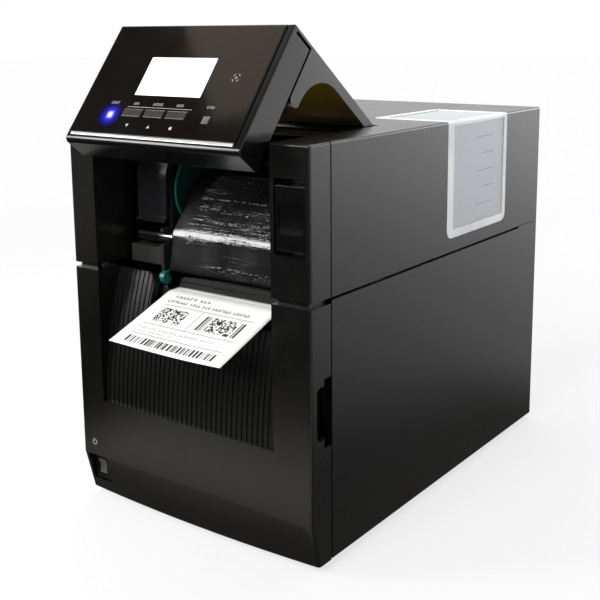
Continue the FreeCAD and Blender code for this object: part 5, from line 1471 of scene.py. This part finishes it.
@dataclass
class PrintedLabel:
    """The label that stands out over the tear bar, curled a little, with its print."""

    left: float = -41.0
    width: float = 110.0
    web_z: float = 179.95
    start_y: float = 35.2
    bend_y: float = 31.0
    bend_radius: float = 14.0
    tip_y: float = -37.5
    tip_z: float = 155.0
    step: float = 1.5
    thickness: float = 0.2
    columns: int = 24
    lengths: int = 60
    held_until: float = 0.16
    curl: float = 1.3
    curl_power: float = 2.2
    curl_level: float = 0.35
    wave: float = 0.18
    wave_pace: float = 5.2
    wave_start: float = 0.6
    ink_lift: float = 0.03
    longest_mark: float = 0.05
    tallest_mark: float = 0.06
    seed: int = 11

    heading: Block = Block(0.12, 0.46, 0.115, 0.155)
    title: Block = Block(0.09, 0.86, 0.2, 0.24)
    upper_rule: Block = Block(0.09, 0.9, 0.285, 0.291)
    square_field: Block = Block(0.13, 0.37, 0.34, 0.57)
    divider: Block = Block(0.465, 0.469, 0.3, 0.62)
    wide_start: Block = Block(0.53, 0.58, 0.34, 0.57)
    wide_field: Block = Block(0.6, 0.82, 0.34, 0.57)
    wide_end: Block = Block(0.84, 0.89, 0.34, 0.57)
    middle_rule: Block = Block(0.09, 0.9, 0.62, 0.626)
    lower_rule: Block = Block(0.09, 0.9, 0.79, 0.796)
    bar_row: Block = Block(0.1, 0.9, 0.84, 0.94)
    caption: Block = Block(0.09, 0.78, 0.675, 0.71)
    note: Block = Block(0.09, 0.45, 0.735, 0.76)
    heading_letter: float = 0.034
    title_letter: float = 0.024
    caption_letter: float = 0.022
    note_letter: float = 0.018
    word_letters: tuple[int, int] = (3, 8)
    word_gap: float = 0.8
    upright_pen: float = 0.26
    second_chance: float = 0.6
    second_at: float = 0.5
    level_length: float = 0.7
    level_pen: float = 0.2
    square_cells: tuple[int, int] = (22, 14)
    wide_cells: tuple[int, int] = (20, 12)
    filled_share: float = 0.52
    field_bar: float = 0.009
    row_bar: float = 0.0065
    bar_units: Sequence[int] = (1, 1, 2, 3)
    path: list[Station] = field(init=False)

    def __post_init__(self) -> None:
        """Works out the label's course."""
        self.path = self.course()

    def course(self) -> list[Station]:
        """The label's course in the side view.

        Returns:
            Its places from the tear bar to the tip.
        """
        turns = [Turn(self.start_y, self.web_z, 0.0),
                 Turn(self.bend_y, self.web_z - self.bend_radius, self.bend_radius),
                 Turn(self.tip_y, self.tip_z, 0.0)]
        return WebPath(turns).sample(self.step)

    def place(self, u: float, v: float, lift: float = 0.0) -> tuple[Vector, Vector]:
        """A place on the label's upper side.

        Args:
            u: From 0 at the left edge to 1 at the right.
            v: From 0 at the tear bar to 1 at the tip.
            lift: Millimetres above the surface.

        Returns:
            The place and the upward normal, in the printer's frame.
        """
        at = v * (len(self.path) - 1)
        low = min(int(at), len(self.path) - 2)
        share = at - low
        y, z, ny, nz = (a * (1 - share) + b * share
                        for a, b in zip(self.path[low][:4], self.path[low + 1][:4]))
        normal = Vector((0.0, -ny, -nz)).normalized()
        if normal.z < 0:
            normal = -normal
        free = max(0.0, (v - self.held_until) / (1 - self.held_until))
        dip = self.curl * free * free * (abs(2 * u - 1) ** self.curl_power - self.curl_level)
        wave = self.wave * free * math.sin(self.wave_pace * u + self.wave_start)
        raise_by = dip + wave + lift
        return DRAWING.point(self.left + u * self.width, y, z) + normal * raise_by / 1000.0, normal

    def mark(self, block: Block) -> list[list[Vector]]:
        """The outlines of a printed block, cut so that it follows the curl.

        Args:
            block: The block.

        Returns:
            The outlines.
        """
        width, height = block.right - block.left, block.bottom - block.top
        pieces = max(1, int(width / self.longest_mark))
        drops = max(1, int(height / self.tallest_mark))
        outlines = []
        for i in range(pieces):
            a = block.left + width * i / pieces
            b = block.left + width * (i + 1) / pieces
            for j in range(drops):
                c = block.top + height * j / drops
                d = block.top + height * (j + 1) / drops
                outlines.append([self.place(p, q, self.ink_lift)[0]
                                 for p, q in ((a, d), (b, d), (b, c), (a, c))])
        return outlines

    def words(self, draw: random.Random, block: Block, letter: float) -> list[list[Vector]]:
        """A row of small upright and level strokes in groups, which stands for plain text.

        Args:
            draw: The random source.
            block: The row's ends.
            letter: A stroke group's width, as a share of the label's.

        Returns:
            The outlines.
        """
        _, right, top, bottom = block
        middle, level = (top + bottom) / 2, (bottom - top) * self.level_pen
        pen = letter * self.upright_pen
        outlines: list[list[Vector]] = []
        at = block.left
        while at < right:
            for _ in range(draw.randint(*self.word_letters)):
                if at + letter > right:
                    break
                outlines += self.mark(Block(at, at + pen, top, bottom))
                if draw.random() < self.second_chance:
                    second = at + letter * self.second_at
                    outlines += self.mark(Block(second, second + pen, middle, bottom))
                height = draw.choice((top, middle, bottom - level))
                end = at + letter * self.level_length
                outlines += self.mark(Block(at, end, height, height + level))
                at += letter
            at += letter * self.word_gap
        return outlines

    def bars(self, draw: random.Random, block: Block, unit: float) -> list[list[Vector]]:
        """Upright bars of one to three units, with gaps of one to three units.

        Args:
            draw: The random source.
            block: The row's ends.
            unit: The narrowest bar's width, as a share of the label's.

        Returns:
            The outlines.
        """
        outlines: list[list[Vector]] = []
        at = block.left
        while at < block.right:
            wide = unit * draw.choice(self.bar_units)
            outlines += self.mark(block._replace(left=at, right=min(at + wide, block.right)))
            at += wide + unit * draw.choice(self.bar_units)
        return outlines

    def cells(self, draw: random.Random, block: Block, columns: int, rows: int
              ) -> list[list[Vector]]:
        """A field of small cells filled at random.

        Args:
            draw: The random source.
            block: The field's ends.
            columns: How many cells it has across.
            rows: How many cells it has down.

        Returns:
            The outlines of the filled ones.
        """
        outlines: list[list[Vector]] = []
        du, dv = (block.right - block.left) / columns, (block.bottom - block.top) / rows
        for i in range(columns):
            for j in range(rows):
                if draw.random() < self.filled_share:
                    outlines += self.mark(Block(block.left + i * du, block.left + (i + 1) * du,
                                                block.top + j * dv, block.top + (j + 1) * dv))
        return outlines

    def black_print(self, draw: random.Random) -> list[list[Vector]]:
        """The outlines of everything that is printed black.

        Args:
            draw: The random source.

        Returns:
            The outlines.
        """
        return (self.words(draw, self.heading, self.heading_letter)
                + self.words(draw, self.title, self.title_letter)
                + self.mark(self.upper_rule)
                + self.cells(draw, self.square_field, *self.square_cells)
                + self.mark(self.divider)
                + self.bars(draw, self.wide_start, self.field_bar)
                + self.cells(draw, self.wide_field, *self.wide_cells)
                + self.bars(draw, self.wide_end, self.field_bar)
                + self.mark(self.middle_rule)
                + self.mark(self.lower_rule)
                + self.bars(draw, self.bar_row, self.row_bar))

    def grey_print(self, draw: random.Random) -> list[list[Vector]]:
        """The outlines of the small words, which are printed paler."""
        return (self.words(draw, self.caption, self.caption_letter)
                + self.words(draw, self.note, self.note_letter))

    def build(self, maker: Maker) -> list[bpy.types.Object]:
        """Builds the label and its print.

        Args:
            maker: Makes the pieces.

        Returns:
            The pieces.
        """
        rows = [[self.place(j / self.columns, i / self.lengths) for j in range(self.columns + 1)]
                for i in range(self.lengths + 1)]
        corners, faces = SheetGrid(self.thickness / 1000).build(rows)
        sheet = maker.piece("label_sheet", corners, faces, "base", "label_paper", smooth=True)
        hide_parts("printed_label")
        draw = random.Random(self.seed)
        corners, faces = Maker.plates(self.black_print(draw), Vector((0, 0, INK)))
        black = MouldedPlastic("thermal_ink", (0.02, 0.02, 0.021), roughness=0.5,
                               grain_depth=0.000004).build()
        printed = maker.piece("label_print", corners, faces, "base", "label_paper", black)
        corners, faces = Maker.plates(self.grey_print(draw), Vector((0, 0, INK)))
        pale = MouldedPlastic("pale_ink", (0.36, 0.36, 0.355), roughness=0.5,
                              grain_depth=0.000004).build()
        small = maker.piece("label_small_print", corners, faces, "base", "label_paper", pale)
        return [sheet, printed, small]


class Ripple(NamedTuple):
    """Waves of a sheet: their height, how many there are across and along it, and a layer."""

    height: float
    across: float
    along: float
    layer: float


@dataclass
class RibbonWeb:
    """The ribbon's thin film between its two rolls, rippled where it hangs free."""

    left: float = -45.0
    width: float = 110.0
    thickness: float = 0.15
    step: float = 0.8
    columns: int = 120
    edge_bow: float = 1.1
    shortest_span: float = 4.0
    ripples: Sequence[Ripple] = (Ripple(0.014, 0.045, 0.5, 3.0), Ripple(0.02, 0.32, 1.15, 9.0),
                                 Ripple(0.15, 0.02, 0.05, 5.0))
    turns: Sequence[Turn] = (
        Turn(80.0, 257.0, 12.4), Turn(53.6, 219.2, 16.0), Turn(43.3, 194.5, 10.0),
        Turn(40.5, 182.55, 1.85), Turn(58.0, 200.35, 20.0), Turn(112.0, 190.0, 4.4),
        Turn(165.0, 252.0, -28.4))

    def free_share(self, s: float, spans: Sequence[Pair]) -> float:
        """How free the film is at a length: 0 on a bar or roll and 1 in mid-span.

        Args:
            s: The length along the film's course.
            spans: The stretches that hang free.

        Returns:
            The share.
        """
        for start, end in spans:
            if start < s < end:
                return math.sqrt(math.sin(math.pi * (s - start) / (end - start)))
        return 0.0

    def free_spans(self, path: Sequence[Station], lengths: Sequence[float]) -> list[Pair]:
        """The stretches between turns that are long enough to ripple.

        Args:
            path: The film's course.
            lengths: The length of the course up to each place.

        Returns:
            Each stretch's start and end.
        """
        spans: list[Pair] = []
        start = 0.0
        for i in range(1, len(path)):
            if path[i].on_turn and not path[i - 1].on_turn:
                spans.append((start, lengths[i - 1]))
            if not path[i].on_turn and path[i - 1].on_turn:
                start = lengths[i - 1]
        spans.append((start, lengths[-1]))
        return [span for span in spans if span[1] - span[0] > self.shortest_span]

    def build(self, maker: Maker) -> bpy.types.Object:
        """Builds the film.

        Args:
            maker: Makes the piece.

        Returns:
            The piece.
        """
        path = WebPath(self.turns).sample(self.step)
        lengths = [0.0]
        for before, after in zip(path, path[1:]):
            lengths.append(lengths[-1] + math.hypot(after.y - before.y, after.z - before.z))
        spans = self.free_spans(path, lengths)
        rows = []
        for station, s in zip(path, lengths):
            free = self.free_share(s, spans)
            normal = Vector((0.0, -station.normal_y, -station.normal_z))
            row = []
            for j in range(self.columns + 1):
                u = j / self.columns
                x = u * self.width
                height = free * sum(
                    ripple.height * noise.noise(Vector((x * ripple.across, s * ripple.along,
                                                        ripple.layer)))
                    for ripple in self.ripples)
                bow = self.edge_bow * free * (1 - 2 * u) ** 3
                at = DRAWING.point(self.left + x + bow, station.y, station.z)
                row.append((at + normal * height / 1000.0, normal))
            rows.append(row)
        corners, faces = SheetGrid(self.thickness / 1000).build(rows)
        film = maker.piece("ribbon_web", corners, faces, "base", "film_black", smooth=True)
        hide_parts("ribbon_film")
        return film


@dataclass
class PanelMarks:
    """Small generic marks printed on the operator panel, in millimetres on its face."""

    lift: float = 0.03
    key_centres: Sequence[float] = (-31.8, -9.9, 12.0)
    key_marks: Sequence[tuple[float, Sequence[Pair]]] = (
        (13.4, ((-1.5, 1.1), (0.0, -1.5), (1.5, 1.1))),
        (13.0, ((-1.5, -1.1), (1.5, -1.1), (0.0, 1.5))),
        (13.0, ((-1.2, -1.2), (1.2, -1.2), (1.2, 1.2), (-1.2, 1.2))))
    rule: Stretch = (-40.0, 24.0, 29.2, 29.5)
    captions: Sequence[tuple[float, int]] = ((-54.0, 6), (-31.8, 4), (-9.9, 7), (12.0, 5),
                                             (41.0, 5))
    letter_low: float = 31.2
    letter_high: float = 33.4
    letter_width: float = 0.95
    letter_pitch: float = 1.45
    stroke: float = 0.32
    level_heights: Sequence[float] = (31.2, 32.15, 33.1)
    level_pen: float = 0.3
    target_x: float = 51.0
    target_up: float = 57.6
    target_radius: float = 3.1
    target_pen: float = 0.4
    target_starts: Sequence[float] = (22, 112, 202, 292)
    target_sweep: float = 46.0
    target_bars: Sequence[Pair] = ((0.9, 0.7), (0.0, 1.5), (-0.9, 0.9))
    target_bar_half: float = 0.15
    arc_step: float = 12.0

    def bar(self, x0: float, x1: float, low: float, high: float) -> list[Vector]:
        """A bar's outline on the panel."""
        return [DRAWING.on_panel(x, 0.0, s) for x, s in ((x0, low), (x1, low), (x1, high),
                                                          (x0, high))]

    def shape(self, x: float, up: float, points: Sequence[Pair]) -> list[Vector]:
        """An outline about a middle on the panel."""
        return [DRAWING.on_panel(x + a, 0.0, up + b) for a, b in points]

    def stroke_group(self, x: float, index: int) -> list[list[Vector]]:
        """An upright stroke and a level one, which stand for a letter.

        Args:
            x: Where the upright stroke begins.
            index: Which letter of its group it is.

        Returns:
            The two outlines.
        """
        level = self.level_heights[index % len(self.level_heights)]
        return [self.bar(x, x + self.stroke, self.letter_low, self.letter_high),
                self.bar(x + self.stroke, x + self.letter_width, level, level + self.level_pen)]

    def target_arc(self, start: float) -> list[list[Vector]]:
        """An arc of the target in short pieces.

        Args:
            start: Where it starts, in degrees from the right.

        Returns:
            The pieces' outlines.
        """
        count = max(3, int(self.target_sweep / self.arc_step))
        inner, outer = self.target_radius, self.target_radius + self.target_pen
        outlines = []
        for i in range(count):
            a = math.radians(start + self.target_sweep * i / count)
            b = math.radians(start + self.target_sweep * (i + 1) / count)
            outlines.append(self.shape(self.target_x, self.target_up, [
                (inner * math.cos(a), inner * math.sin(a)),
                (outer * math.cos(a), outer * math.sin(a)),
                (outer * math.cos(b), outer * math.sin(b)),
                (inner * math.cos(b), inner * math.sin(b))]))
        return outlines

    def build(self, maker: Maker) -> bpy.types.Object:
        """Builds the marks.

        Args:
            maker: Makes the piece.

        Returns:
            The piece.
        """
        outlines = [self.shape(x, up, points)
                    for x, (up, points) in zip(self.key_centres, self.key_marks)]
        outlines.append(self.bar(*self.rule))
        for middle, letters in self.captions:
            for index in range(letters):
                at = middle + (index - letters / 2) * self.letter_pitch
                outlines += self.stroke_group(at, index)
        for start in self.target_starts:
            outlines += self.target_arc(start)
        for rise, half in self.target_bars:
            up = self.target_up + rise
            outlines.append(self.bar(self.target_x - half, self.target_x + half,
                                     up - self.target_bar_half, up + self.target_bar_half))
        corners, faces = Maker.plates(outlines, -DRAWING.panel_inward() * self.lift / 1000)
        pale = MouldedPlastic("panel_print", (0.4, 0.39, 0.37), roughness=0.4,
                              grain_depth=0.000002).build()
        return maker.piece("panel_marks", corners, faces, "hood", "panel_gloss", pale)


@dataclass
class WindowGauge:
    """The level marks on the window's side pane."""

    pane_x: float = 118.1
    lift: float = 0.06
    strokes: int = 5
    front_y: float = 247.0
    rear_y: float = 281.0
    top_z: float = 292.0
    bottom_z: float = 233.0
    short_by: float = 11.0
    half_pen: float = 0.3

    def build(self, maker: Maker) -> bpy.types.Object:
        """Builds the strokes, of which every second one is short.

        Args:
            maker: Makes the piece.

        Returns:
            The piece.
        """
        outlines = []
        for index in range(self.strokes):
            z = self.top_z + (self.bottom_z - self.top_z) * index / (self.strokes - 1)
            y0 = self.front_y + (self.short_by if index % 2 else 0.0)
            low, high = z - self.half_pen, z + self.half_pen
            outlines.append([DRAWING.point(self.pane_x, y, h) for y, h in
                             ((y0, low), (self.rear_y, low), (self.rear_y, high), (y0, high))])
        corners, faces = Maker.plates(outlines, Vector((self.lift / 1000, 0, 0)))
        grey = MouldedPlastic("gauge_print", (0.26, 0.28, 0.3), roughness=0.45,
                              grain_depth=0.000002).build()
        return maker.piece("window_gauge", corners, faces, "cover", "window_frost", grey)


@dataclass
class PowerMark:
    """The generic ring and stroke by the power switch."""

    x: float = -105.0
    z: float = 46.0
    radius: float = 2.3
    pen: float = 0.5
    ring_start: float = 118.0
    ring_sweep: float = 304.0
    ring_pieces: int = 24
    stroke_low: float = 0.3
    stroke_high: float = 3.0
    lift: float = 0.04

    def spot(self, a: float, b: float) -> Vector:
        """A point beside the mark's middle, on the housing's front face."""
        return DRAWING.point(self.x + a, 0.0, self.z + b)

    def build(self, maker: Maker) -> bpy.types.Object:
        """Builds the mark.

        Args:
            maker: Makes the piece.

        Returns:
            The piece.
        """
        half = self.pen / 2
        inner, outer = self.radius - half, self.radius + half
        outlines = []
        for i in range(self.ring_pieces):
            a = math.radians(self.ring_start + self.ring_sweep * i / self.ring_pieces)
            b = math.radians(self.ring_start + self.ring_sweep * (i + 1) / self.ring_pieces)
            outlines.append([self.spot(radius * math.cos(angle), radius * math.sin(angle))
                             for radius, angle in ((inner, a), (inner, b), (outer, b),
                                                   (outer, a))])
        low, high = self.stroke_low, self.stroke_high
        outlines.append([self.spot(*corner)
                         for corner in ((-half, low), (half, low), (half, high), (-half, high))])
        corners, faces = Maker.plates(outlines, Vector((0, -self.lift / 1000, 0)))
        pale = MouldedPlastic("switch_print", (0.34, 0.34, 0.33), roughness=0.4,
                              grain_depth=0.000002).build()
        return maker.piece("power_mark", corners, faces, "base", "housing", pale)


@dataclass
class SeamShadeStrips:
    """Dark strips behind each side's seams, as painted shade that keeps light from showing through
    them.
    """

    seam_depths: Pair = (27.0, 333.0)
    seam_heights: Pair = (197.7, 206.0)
    foot_depths: Pair = (22.75, 25.55)
    foot_heights: Pair = (15.02, 84.0)
    inner: float = 113.6
    outer: float = 115.6

    def strip(self, maker: Maker, name: str, body: str, side: Side, depths: Pair, heights: Pair
              ) -> bpy.types.Object:
        """One strip on one side.

        Args:
            maker: Makes the piece.
            name: The piece's name before the side's.
            body: The body that it rides on.
            side: The side that it lies on.
            depths: Its front and rear end.
            heights: Its lower and upper end.

        Returns:
            The piece.
        """
        a, b = side.value * self.inner, side.value * self.outer
        front, rear = depths
        outline = [DRAWING.point(x, y, heights[0]) for x, y in
                   ((a, front), (b, front), (b, rear), (a, rear))]
        if side is Side.LEFT:
            outline.reverse()
        lift = Vector((0, 0, (heights[1] - heights[0]) / 1000))
        corners, faces = Maker.plates([outline], lift)
        return maker.piece(f"{name}_{side.name.lower()}", corners, faces, body, "foot_rubber")

    def build(self, maker: Maker) -> list[bpy.types.Object]:
        """Builds the strips on each side.

        Args:
            maker: Makes the pieces.

        Returns:
            The pieces.
        """
        made = []
        for side in Side:
            # Painted shade: dark strips that stand in for the shade inside the seams.
            made.append(self.strip(maker, "seam_shade_strip", "cover", side, self.seam_depths,
                                   self.seam_heights))
            made.append(self.strip(maker, "front_seam_shade_strip", "base", side, self.foot_depths,
                                   self.foot_heights))
        return made


@dataclass(frozen=True)
class Softbox:
    """A soft lamp: where it stands, what it looks at, its size, power and colour."""

    name: str
    place: Point
    target: Point
    size: Pair
    watts: float
    colour: Colour = WHITE

    def build(self) -> None:
        """Adds the lamp to the scene."""
        data = bpy.data.lights.new(self.name, "AREA")
        data.shape = "RECTANGLE"
        data.size, data.size_y = self.size
        data.energy = self.watts
        data.color = self.colour
        lamp = bpy.data.objects.new(self.name, data)
        lamp.location = self.place
        direction = Vector(self.target) - Vector(self.place)
        lamp.rotation_euler = direction.to_track_quat("-Z", "Y").to_euler()
        bpy.context.scene.collection.objects.link(lamp)


@dataclass(frozen=True)
class Floor:
    """The pale floor, which looks white, keeps the printer's shadow and shows in its gloss.

    Each stretch carries a distance in metres from its first two numbers to its last two.
    """

    radius: float = 14.0
    rings: int = 6
    sides: int = 64
    level: float = -0.0002
    colour: Colour = (0.8, 0.8, 0.79)
    clouds: Grain = Grain(3.0, 2.0)
    cloud_tint: float = 0.985
    roughness: float = 0.9
    shine: float = 0.1
    glow: Stretch = (0.5, 1.6, 0.72, 1.0)
    front_start: Stretch = (-0.44, -0.3, 0.0, 0.85)
    front_end: Stretch = (-0.27, -0.19, 1.0, 0.15)
    front_side: Stretch = (0.17, 0.26, 1.0, 0.0)
    away_direction: Point = (0.59, 0.807, 0.0)
    away_near: Stretch = (0.14, 0.45, 0.14, 0.5)
    away_middle: Stretch = (0.45, 1.4, 0.0, 0.58)
    away_far: Stretch = (1.4, 2.6, 0.0, 0.85)
    right_side: Stretch = (-0.3, -0.05, 1.0, 0.0)
    right_rear: Stretch = (0.1, 0.35, 0.0, 1.0)
    left_far: Stretch = (0.7, 1.1, 0.0, 0.4)
    left_from: Stretch = (-1.5, -1.1, 0.0, 1.0)
    beside: Stretch = (0.14, 0.5, 0.12, 0.6)
    beside_from: Stretch = (-0.2, 0.0, 0.0, 1.0)
    warm: Colour = (1.0, 0.97, 0.88)
    cold: Colour = (0.99, 0.985, 1.0)

    def mesh(self) -> bpy.types.Mesh:
        """The floor's disc, with wider rings further out.

        Returns:
            The mesh.
        """
        corners = [Vector((0, 0, self.level))]
        faces: list[list[int]] = []
        for ring in range(1, self.rings + 1):
            radius = self.radius * (ring / self.rings) ** 2
            for k in range(self.sides):
                angle = FULL_TURN * k / self.sides
                corners.append(Vector((radius * math.cos(angle), radius * math.sin(angle),
                                       self.level)))
        for k in range(self.sides):
            j = (k + 1) % self.sides
            faces.append([0, 1 + k, 1 + j])
            for ring in range(self.rings - 1):
                a, b = 1 + ring * self.sides + k, 1 + ring * self.sides + j
                faces.append([a, a + self.sides, b + self.sides, b])
        mesh = bpy.data.meshes.new("floor")
        mesh.from_pydata([tuple(corner) for corner in corners], [], faces)
        return mesh

    def reflected(self, pen: Pen) -> tuple[Socket, Socket]:
        """How the floor shows in the printer's gloss.

        Args:
            pen: The pen of the floor's material.

        Returns:
            The strength of each place, and how much of the right and rear side it belongs to.
        """
        depth = pen.along(BACKWARD)
        leftward = pen.along(LEFTWARD)
        away = pen.along(self.away_direction)
        front = pen.product(pen.span(depth, *self.front_start), pen.span(depth, *self.front_end),
                            pen.span(leftward, *self.front_side))
        far = pen.total(pen.span(away, *self.away_near), pen.span(away, *self.away_middle),
                        pen.span(away, *self.away_far))
        right = pen.largest(pen.span(leftward, *self.right_side),
                            pen.span(depth, *self.right_rear))
        left = pen.product(pen.span(leftward, *self.left_far), pen.span(depth, *self.left_from))
        beside = pen.product(pen.span(leftward, *self.beside), pen.span(depth, *self.beside_from))
        return pen.largest(pen.product(far, right), front, left, beside), right

    def build(self) -> None:
        """Adds the floor to the scene."""
        pen = Pen("pale_floor")
        pen.set(Base_Color=pen.blend(pen.noise(self.clouds), self.colour,
                                     shaded(self.colour, self.cloud_tint)),
                Roughness=self.roughness, Specular_IOR_Level=self.shine)
        rays = pen.nodes.new("ShaderNodeLightPath").outputs
        glossy = rays["Is Glossy Ray"]
        seen = pen.largest(rays["Is Camera Ray"], rays["Is Transmission Ray"])
        sheen, right = self.reflected(pen)
        light = pen.nodes.new("ShaderNodeEmission")
        cold = pen.largest(pen.inverse(glossy), right)
        pen.feed(light.inputs["Color"], pen.blend(cold, self.warm, self.cold))
        pen.feed(light.inputs["Strength"], pen.choose(glossy, 1.0, sheen))
        glow = pen.span(pen.from_point(ORIGIN), *self.glow)
        mix = pen.nodes.new("ShaderNodeMixShader")
        pen.feed(mix.inputs[0], pen.choose(glossy, pen.product(seen, glow), 1.0))
        pen.links.new(pen.shader.outputs[0], mix.inputs[1])
        pen.links.new(light.outputs[0], mix.inputs[2])
        pen.links.new(mix.outputs[0], pen.output.inputs["Surface"])
        mesh = self.mesh()
        mesh.materials.append(pen.material)
        floor = bpy.data.objects.new("floor", mesh)
        bpy.context.scene.collection.objects.link(floor)


@dataclass
class Studio:
    """The soft lamps, the surroundings, the floor and the camera."""

    azimuth: float = 36.436
    elevation: float = 10.526
    roll: float = -0.515
    camera_place: Point = (0.50992, -0.71576, 0.39235)
    focal_pixels: float = 1010.72
    picture_size: float = 600.0
    sensor: float = 36.0
    centre_y: float = 215.0
    clip: Pair = (0.01, 60.0)
    surround: float = 0.3
    dark_front: float = 0.05
    bright_sides: Sequence[tuple[str, float, float]] = (("Y", -0.05, 0.4), ("X", 0.15, 0.6),
                                                        ("X", -0.8, -0.96))
    lamps: Sequence[Softbox] = (
        Softbox("roof_softbox", (-0.45, 0.55, 1.6), (0.0, 0.0, 0.2), (1.8, 1.1), 16.0),
        Softbox("key_softbox", (0.1, -1.7, 1.35), (0.0, -0.15, 0.2), (0.9, 0.9), 34.0),
        Softbox("right_softbox", (0.8, 1.95, 0.7), (0.1, 0.1, 0.25), (1.1, 0.8), 16.0,
                (0.97, 0.96, 1.0)),
        Softbox("panel_softbox", (-0.69, -0.24, 1.63), (0.0, -0.15, 0.3), (0.7, 0.8), 1.1,
                (1.0, 0.84, 0.7)),
        Softbox("film_softbox", (-1.02, -1.09, 0.86), (0.0, -0.13, 0.22), (0.4, 0.8), 15.0))

    def world(self) -> None:
        """The surroundings: soft grey light, and white where the camera or a gloss sees them."""
        world = bpy.data.worlds.new("studio")
        world.use_nodes = True
        work = NodeWork(world.node_tree)
        output = work.nodes.new("ShaderNodeOutputWorld")
        rays = work.nodes.new("ShaderNodeLightPath").outputs
        seen = work.largest(rays["Is Camera Ray"], rays["Is Transmission Ray"])
        split = work.nodes.new("ShaderNodeSeparateXYZ")
        heading = work.nodes.new("ShaderNodeTexCoord").outputs["Generated"]
        work.links.new(heading, split.inputs[0])
        bright = work.largest(*(
            work.span(split.outputs[axis], dark_at, white_at, self.dark_front, 1.0, smooth=True)
            for axis, dark_at, white_at in self.bright_sides))
        strength = work.choose(rays["Is Glossy Ray"], self.surround, bright)
        light = work.nodes.new("ShaderNodeBackground")
        work.feed(light.inputs["Color"], WHITE)
        work.feed(light.inputs["Strength"], work.choose(seen, strength, 1.0))
        work.links.new(light.outputs[0], output.inputs["Surface"])
        bpy.context.scene.world = world

    def camera(self) -> None:
        """The camera at the photograph's angle."""
        azimuth, elevation = math.radians(self.azimuth), math.radians(self.elevation)
        roll = math.radians(self.roll)
        back = Vector((math.sin(azimuth) * math.cos(elevation),
                       -math.cos(azimuth) * math.cos(elevation), math.sin(elevation)))
        level = Vector((math.cos(azimuth), math.sin(azimuth), 0.0))
        upright = back.cross(level)
        right = level * math.cos(roll) + upright * math.sin(roll)
        up = upright * math.cos(roll) - level * math.sin(roll)
        data = bpy.data.cameras.new("photo_camera")
        data.sensor_fit = "HORIZONTAL"
        data.sensor_width = self.sensor
        data.lens = self.focal_pixels / self.picture_size * self.sensor
        data.shift_y = (self.centre_y - self.picture_size / 2) / self.picture_size
        data.clip_start, data.clip_end = self.clip
        camera = bpy.data.objects.new("photo_camera", data)
        turn = Matrix((right, up, back)).transposed().to_4x4()
        camera.matrix_world = Matrix.Translation(Vector(self.camera_place)) @ turn
        bpy.context.scene.collection.objects.link(camera)
        bpy.context.scene.camera = camera

    def build(self) -> None:
        """Builds the whole studio."""
        bpy.context.scene.view_settings.view_transform = "Standard"
        self.world()
        Floor().build()
        for lamp in self.lamps:
            lamp.build()
        self.camera()


def main() -> None:
    """Loads the frame, dresses it, adds the pieces and builds the studio."""
    logging.basicConfig(level=logging.INFO, format="%(name)s: %(message)s")
    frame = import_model()
    book = FinishBook()
    book.build()
    LOG.info("finished %d nodes", book.dress(frame))
    LOG.info("softened %d nodes", EdgeSoftener().soften(frame))
    maker = Maker(book)
    steps: list[tuple[str, Callable[[Maker], object]]] = [
        ("printed label", PrintedLabel().build),
        ("ribbon web", RibbonWeb().build),
        ("panel marks", PanelMarks().build),
        ("window gauge", WindowGauge().build),
        ("power mark", PowerMark().build),
        # The dark strips behind the side seams are painted shade.
        ("seam shade strips", SeamShadeStrips().build),
    ]
    for name, build in steps:
        build(maker)
        LOG.info("built %s", name)
    Studio().build()
    LOG.info("built studio")
    bpy.context.view_layer.update()


if __name__ == "__main__":
    main()
